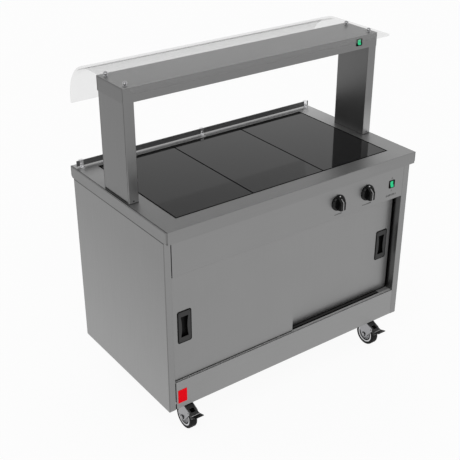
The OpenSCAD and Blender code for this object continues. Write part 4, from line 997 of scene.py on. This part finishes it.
# Pedals: a dark pad of painted shade in the recess and a bright line of painted highlight where the toe
# plate begins. Places are Y from the axle, so towards the front is negative, and Z from the floor.
SHADE_PAD_HALF = 9.4
SHADE_PAD_SLOPE = math.radians(17.0)
SHADE_PAD_PLACE = (-39.0, 98.4)
SHADE_PAD_DEEP = (3.45, 3.1)
PEDAL_HIGHLIGHT_PLACE = (-60.5, 90.0)
PEDAL_HIGHLIGHT_W = 2.2
PEDAL_HIGHLIGHT_T = 0.5
PEDAL_HIGHLIGHT_SUNK = 0.4
PEDAL_HIGHLIGHT_SHORT = 1.0


def make_pedal_details(side, corner):
    node = "pedal_" + side
    low, high = box_of(node)
    highlight_length = high.x - low.x - 2 * PEDAL_HIGHLIGHT_SHORT
    frame_of = Matrix.Translation((middle_of(node).x, middle_of("hub_" + corner).y, 0))

    # Painted shade: a dark pad in the recess
    def pad(bm):
        along = Vector((math.cos(SHADE_PAD_SLOPE), math.sin(SHADE_PAD_SLOPE)))
        out = Vector((-along.y, along.x))
        lower, upper = SHADE_PAD_DEEP
        corners = [Vector(SHADE_PAD_PLACE) - out * deep + along * way
                   for deep, way in rectangle(lower, -SHADE_PAD_HALF, upper, SHADE_PAD_HALF)]
        add_across(bm, corners, 2 * SHADE_PAD_HALF, frame_of)

    # Painted highlight: a bright line where the toe plate begins
    def line(bm):
        y, z = PEDAL_HIGHLIGHT_PLACE
        add_across(bm, rectangle(y - PEDAL_HIGHLIGHT_W, z - PEDAL_HIGHLIGHT_SUNK, y, z + PEDAL_HIGHLIGHT_T), highlight_length, frame_of)

    finish_piece(node + "_pad", mesh_of(pad), "seal", node)
    finish_piece(node + "_line", mesh_of(line), "white_ink_and_highlight", node)


make_pedal_details("left", "fl")
make_pedal_details("right", "fr")


# Dark sealant in the seams between the left stile and its neighbours
PLINTH_SEAM_W = 1.8
PANEL_SEAM_W = 1.0


def make_seam(name, width, low_z, high_z):
    def seam(bm):
        x = box_of("plinth")[0].x
        add_prism(bm, rectangle(x, PLINTH_Y - PRINT_T, x + width, PLINTH_Y), low_z, high_z)

    finish_piece(name, mesh_of(seam), "seal", "cabinet")


make_seam("plinth_seam", PLINTH_SEAM_W, *[corner.z for corner in box_of("plinth")])
make_seam("panel_seam", PANEL_SEAM_W, box_of("control_panel")[0].z, box_of("worktop")[0].z)


# Dark strip of painted shade along the lower edge of each door's front, where the gap under the door is
BOTTOM_SHADE_H = 2.2


def make_bottom_gap_shade(side):
    def seal(bm):
        low, high = box_of("door_%s_outer" % side)
        add_prism(bm, rectangle(low.x + GAP_SHADE_SHORT, low.y - GAP_SHADE_T, high.x - GAP_SHADE_SHORT, low.y),
                  low.z, low.z + BOTTOM_SHADE_H)

    finish_piece("door_%s_seal" % side, mesh_of(seal), "seal", "door_" + side)


for side in ("left", "right"):
    make_bottom_gap_shade(side)


# Floor, world and lamp
WHITE = (1, 1, 1, 1)
WALL_TOP = 0.26
CEILING_START = 0.52
CEILING_TONE = 0.6
FLOOR_GLOW = 0.93
FLOOR_HALF = 12


def make_floor():
    """A white floor that keeps a soft part of the object's shadow."""
    g = Graph("floor")
    path = g.add("ShaderNodeLightPath").outputs
    seen = g.joined("MAXIMUM", path["Is Camera Ray"], path["Is Glossy Ray"])
    seen = g.joined("MAXIMUM", seen, path["Is Transmission Ray"])
    plain = g.add("ShaderNodeBsdfDiffuse", Color=WHITE)
    glow = g.add("ShaderNodeEmission", Color=WHITE, Strength=1.0)
    mix = g.add("ShaderNodeMixShader", Fac=g.joined("MULTIPLY", seen, FLOOR_GLOW))
    g.join(plain.outputs[0], mix.inputs[1])
    g.join(glow.outputs[0], mix.inputs[2])
    g.join(mix.outputs[0], g.output.inputs["Surface"])
    mesh = bpy.data.meshes.new("floor")
    corners = rectangle(-FLOOR_HALF, -FLOOR_HALF, FLOOR_HALF, FLOOR_HALF)
    mesh.from_pydata([(x, y, 0) for x, y in corners], [], [(0, 1, 2, 3)])
    mesh.materials.append(g.material)
    floor = bpy.data.objects.new("floor", mesh)
    bpy.context.scene.collection.objects.link(floor)


def make_world():
    """A studio that is white up to the walls' height and a soft grey overhead."""
    world = bpy.data.worlds.new("studio")
    world.use_nodes = True
    tree = world.node_tree
    coords = tree.nodes.new("ShaderNodeTexCoord")
    split = tree.nodes.new("ShaderNodeSeparateXYZ")
    fade = tree.nodes.new("ShaderNodeMapRange")
    fade.inputs["From Min"].default_value = WALL_TOP
    fade.inputs["From Max"].default_value = CEILING_START
    fade.inputs["To Min"].default_value = 1.0
    fade.inputs["To Max"].default_value = CEILING_TONE
    background = tree.nodes["Background"]
    background.inputs["Color"].default_value = WHITE
    tree.links.new(coords.outputs["Generated"], split.inputs["Vector"])
    tree.links.new(split.outputs["Z"], fade.inputs["Value"])
    tree.links.new(fade.outputs["Result"], background.inputs["Strength"])
    bpy.context.scene.world = world


def make_lamp(name, place, target, size, power):
    data = bpy.data.lights.new(name, "AREA")
    data.shape = "DISK"
    data.size = size
    data.energy = power
    lamp = bpy.data.objects.new(name, data)
    lamp.location = place
    lamp.rotation_euler = look_from(place, target)
    bpy.context.scene.collection.objects.link(lamp)


make_floor()
make_world()
make_lamp("key", place=(-2.6, -2.2, 4.2), target=(0, 0, 0.7), size=2.2, power=20)

bpy.context.scene.view_settings.view_transform = "Standard"
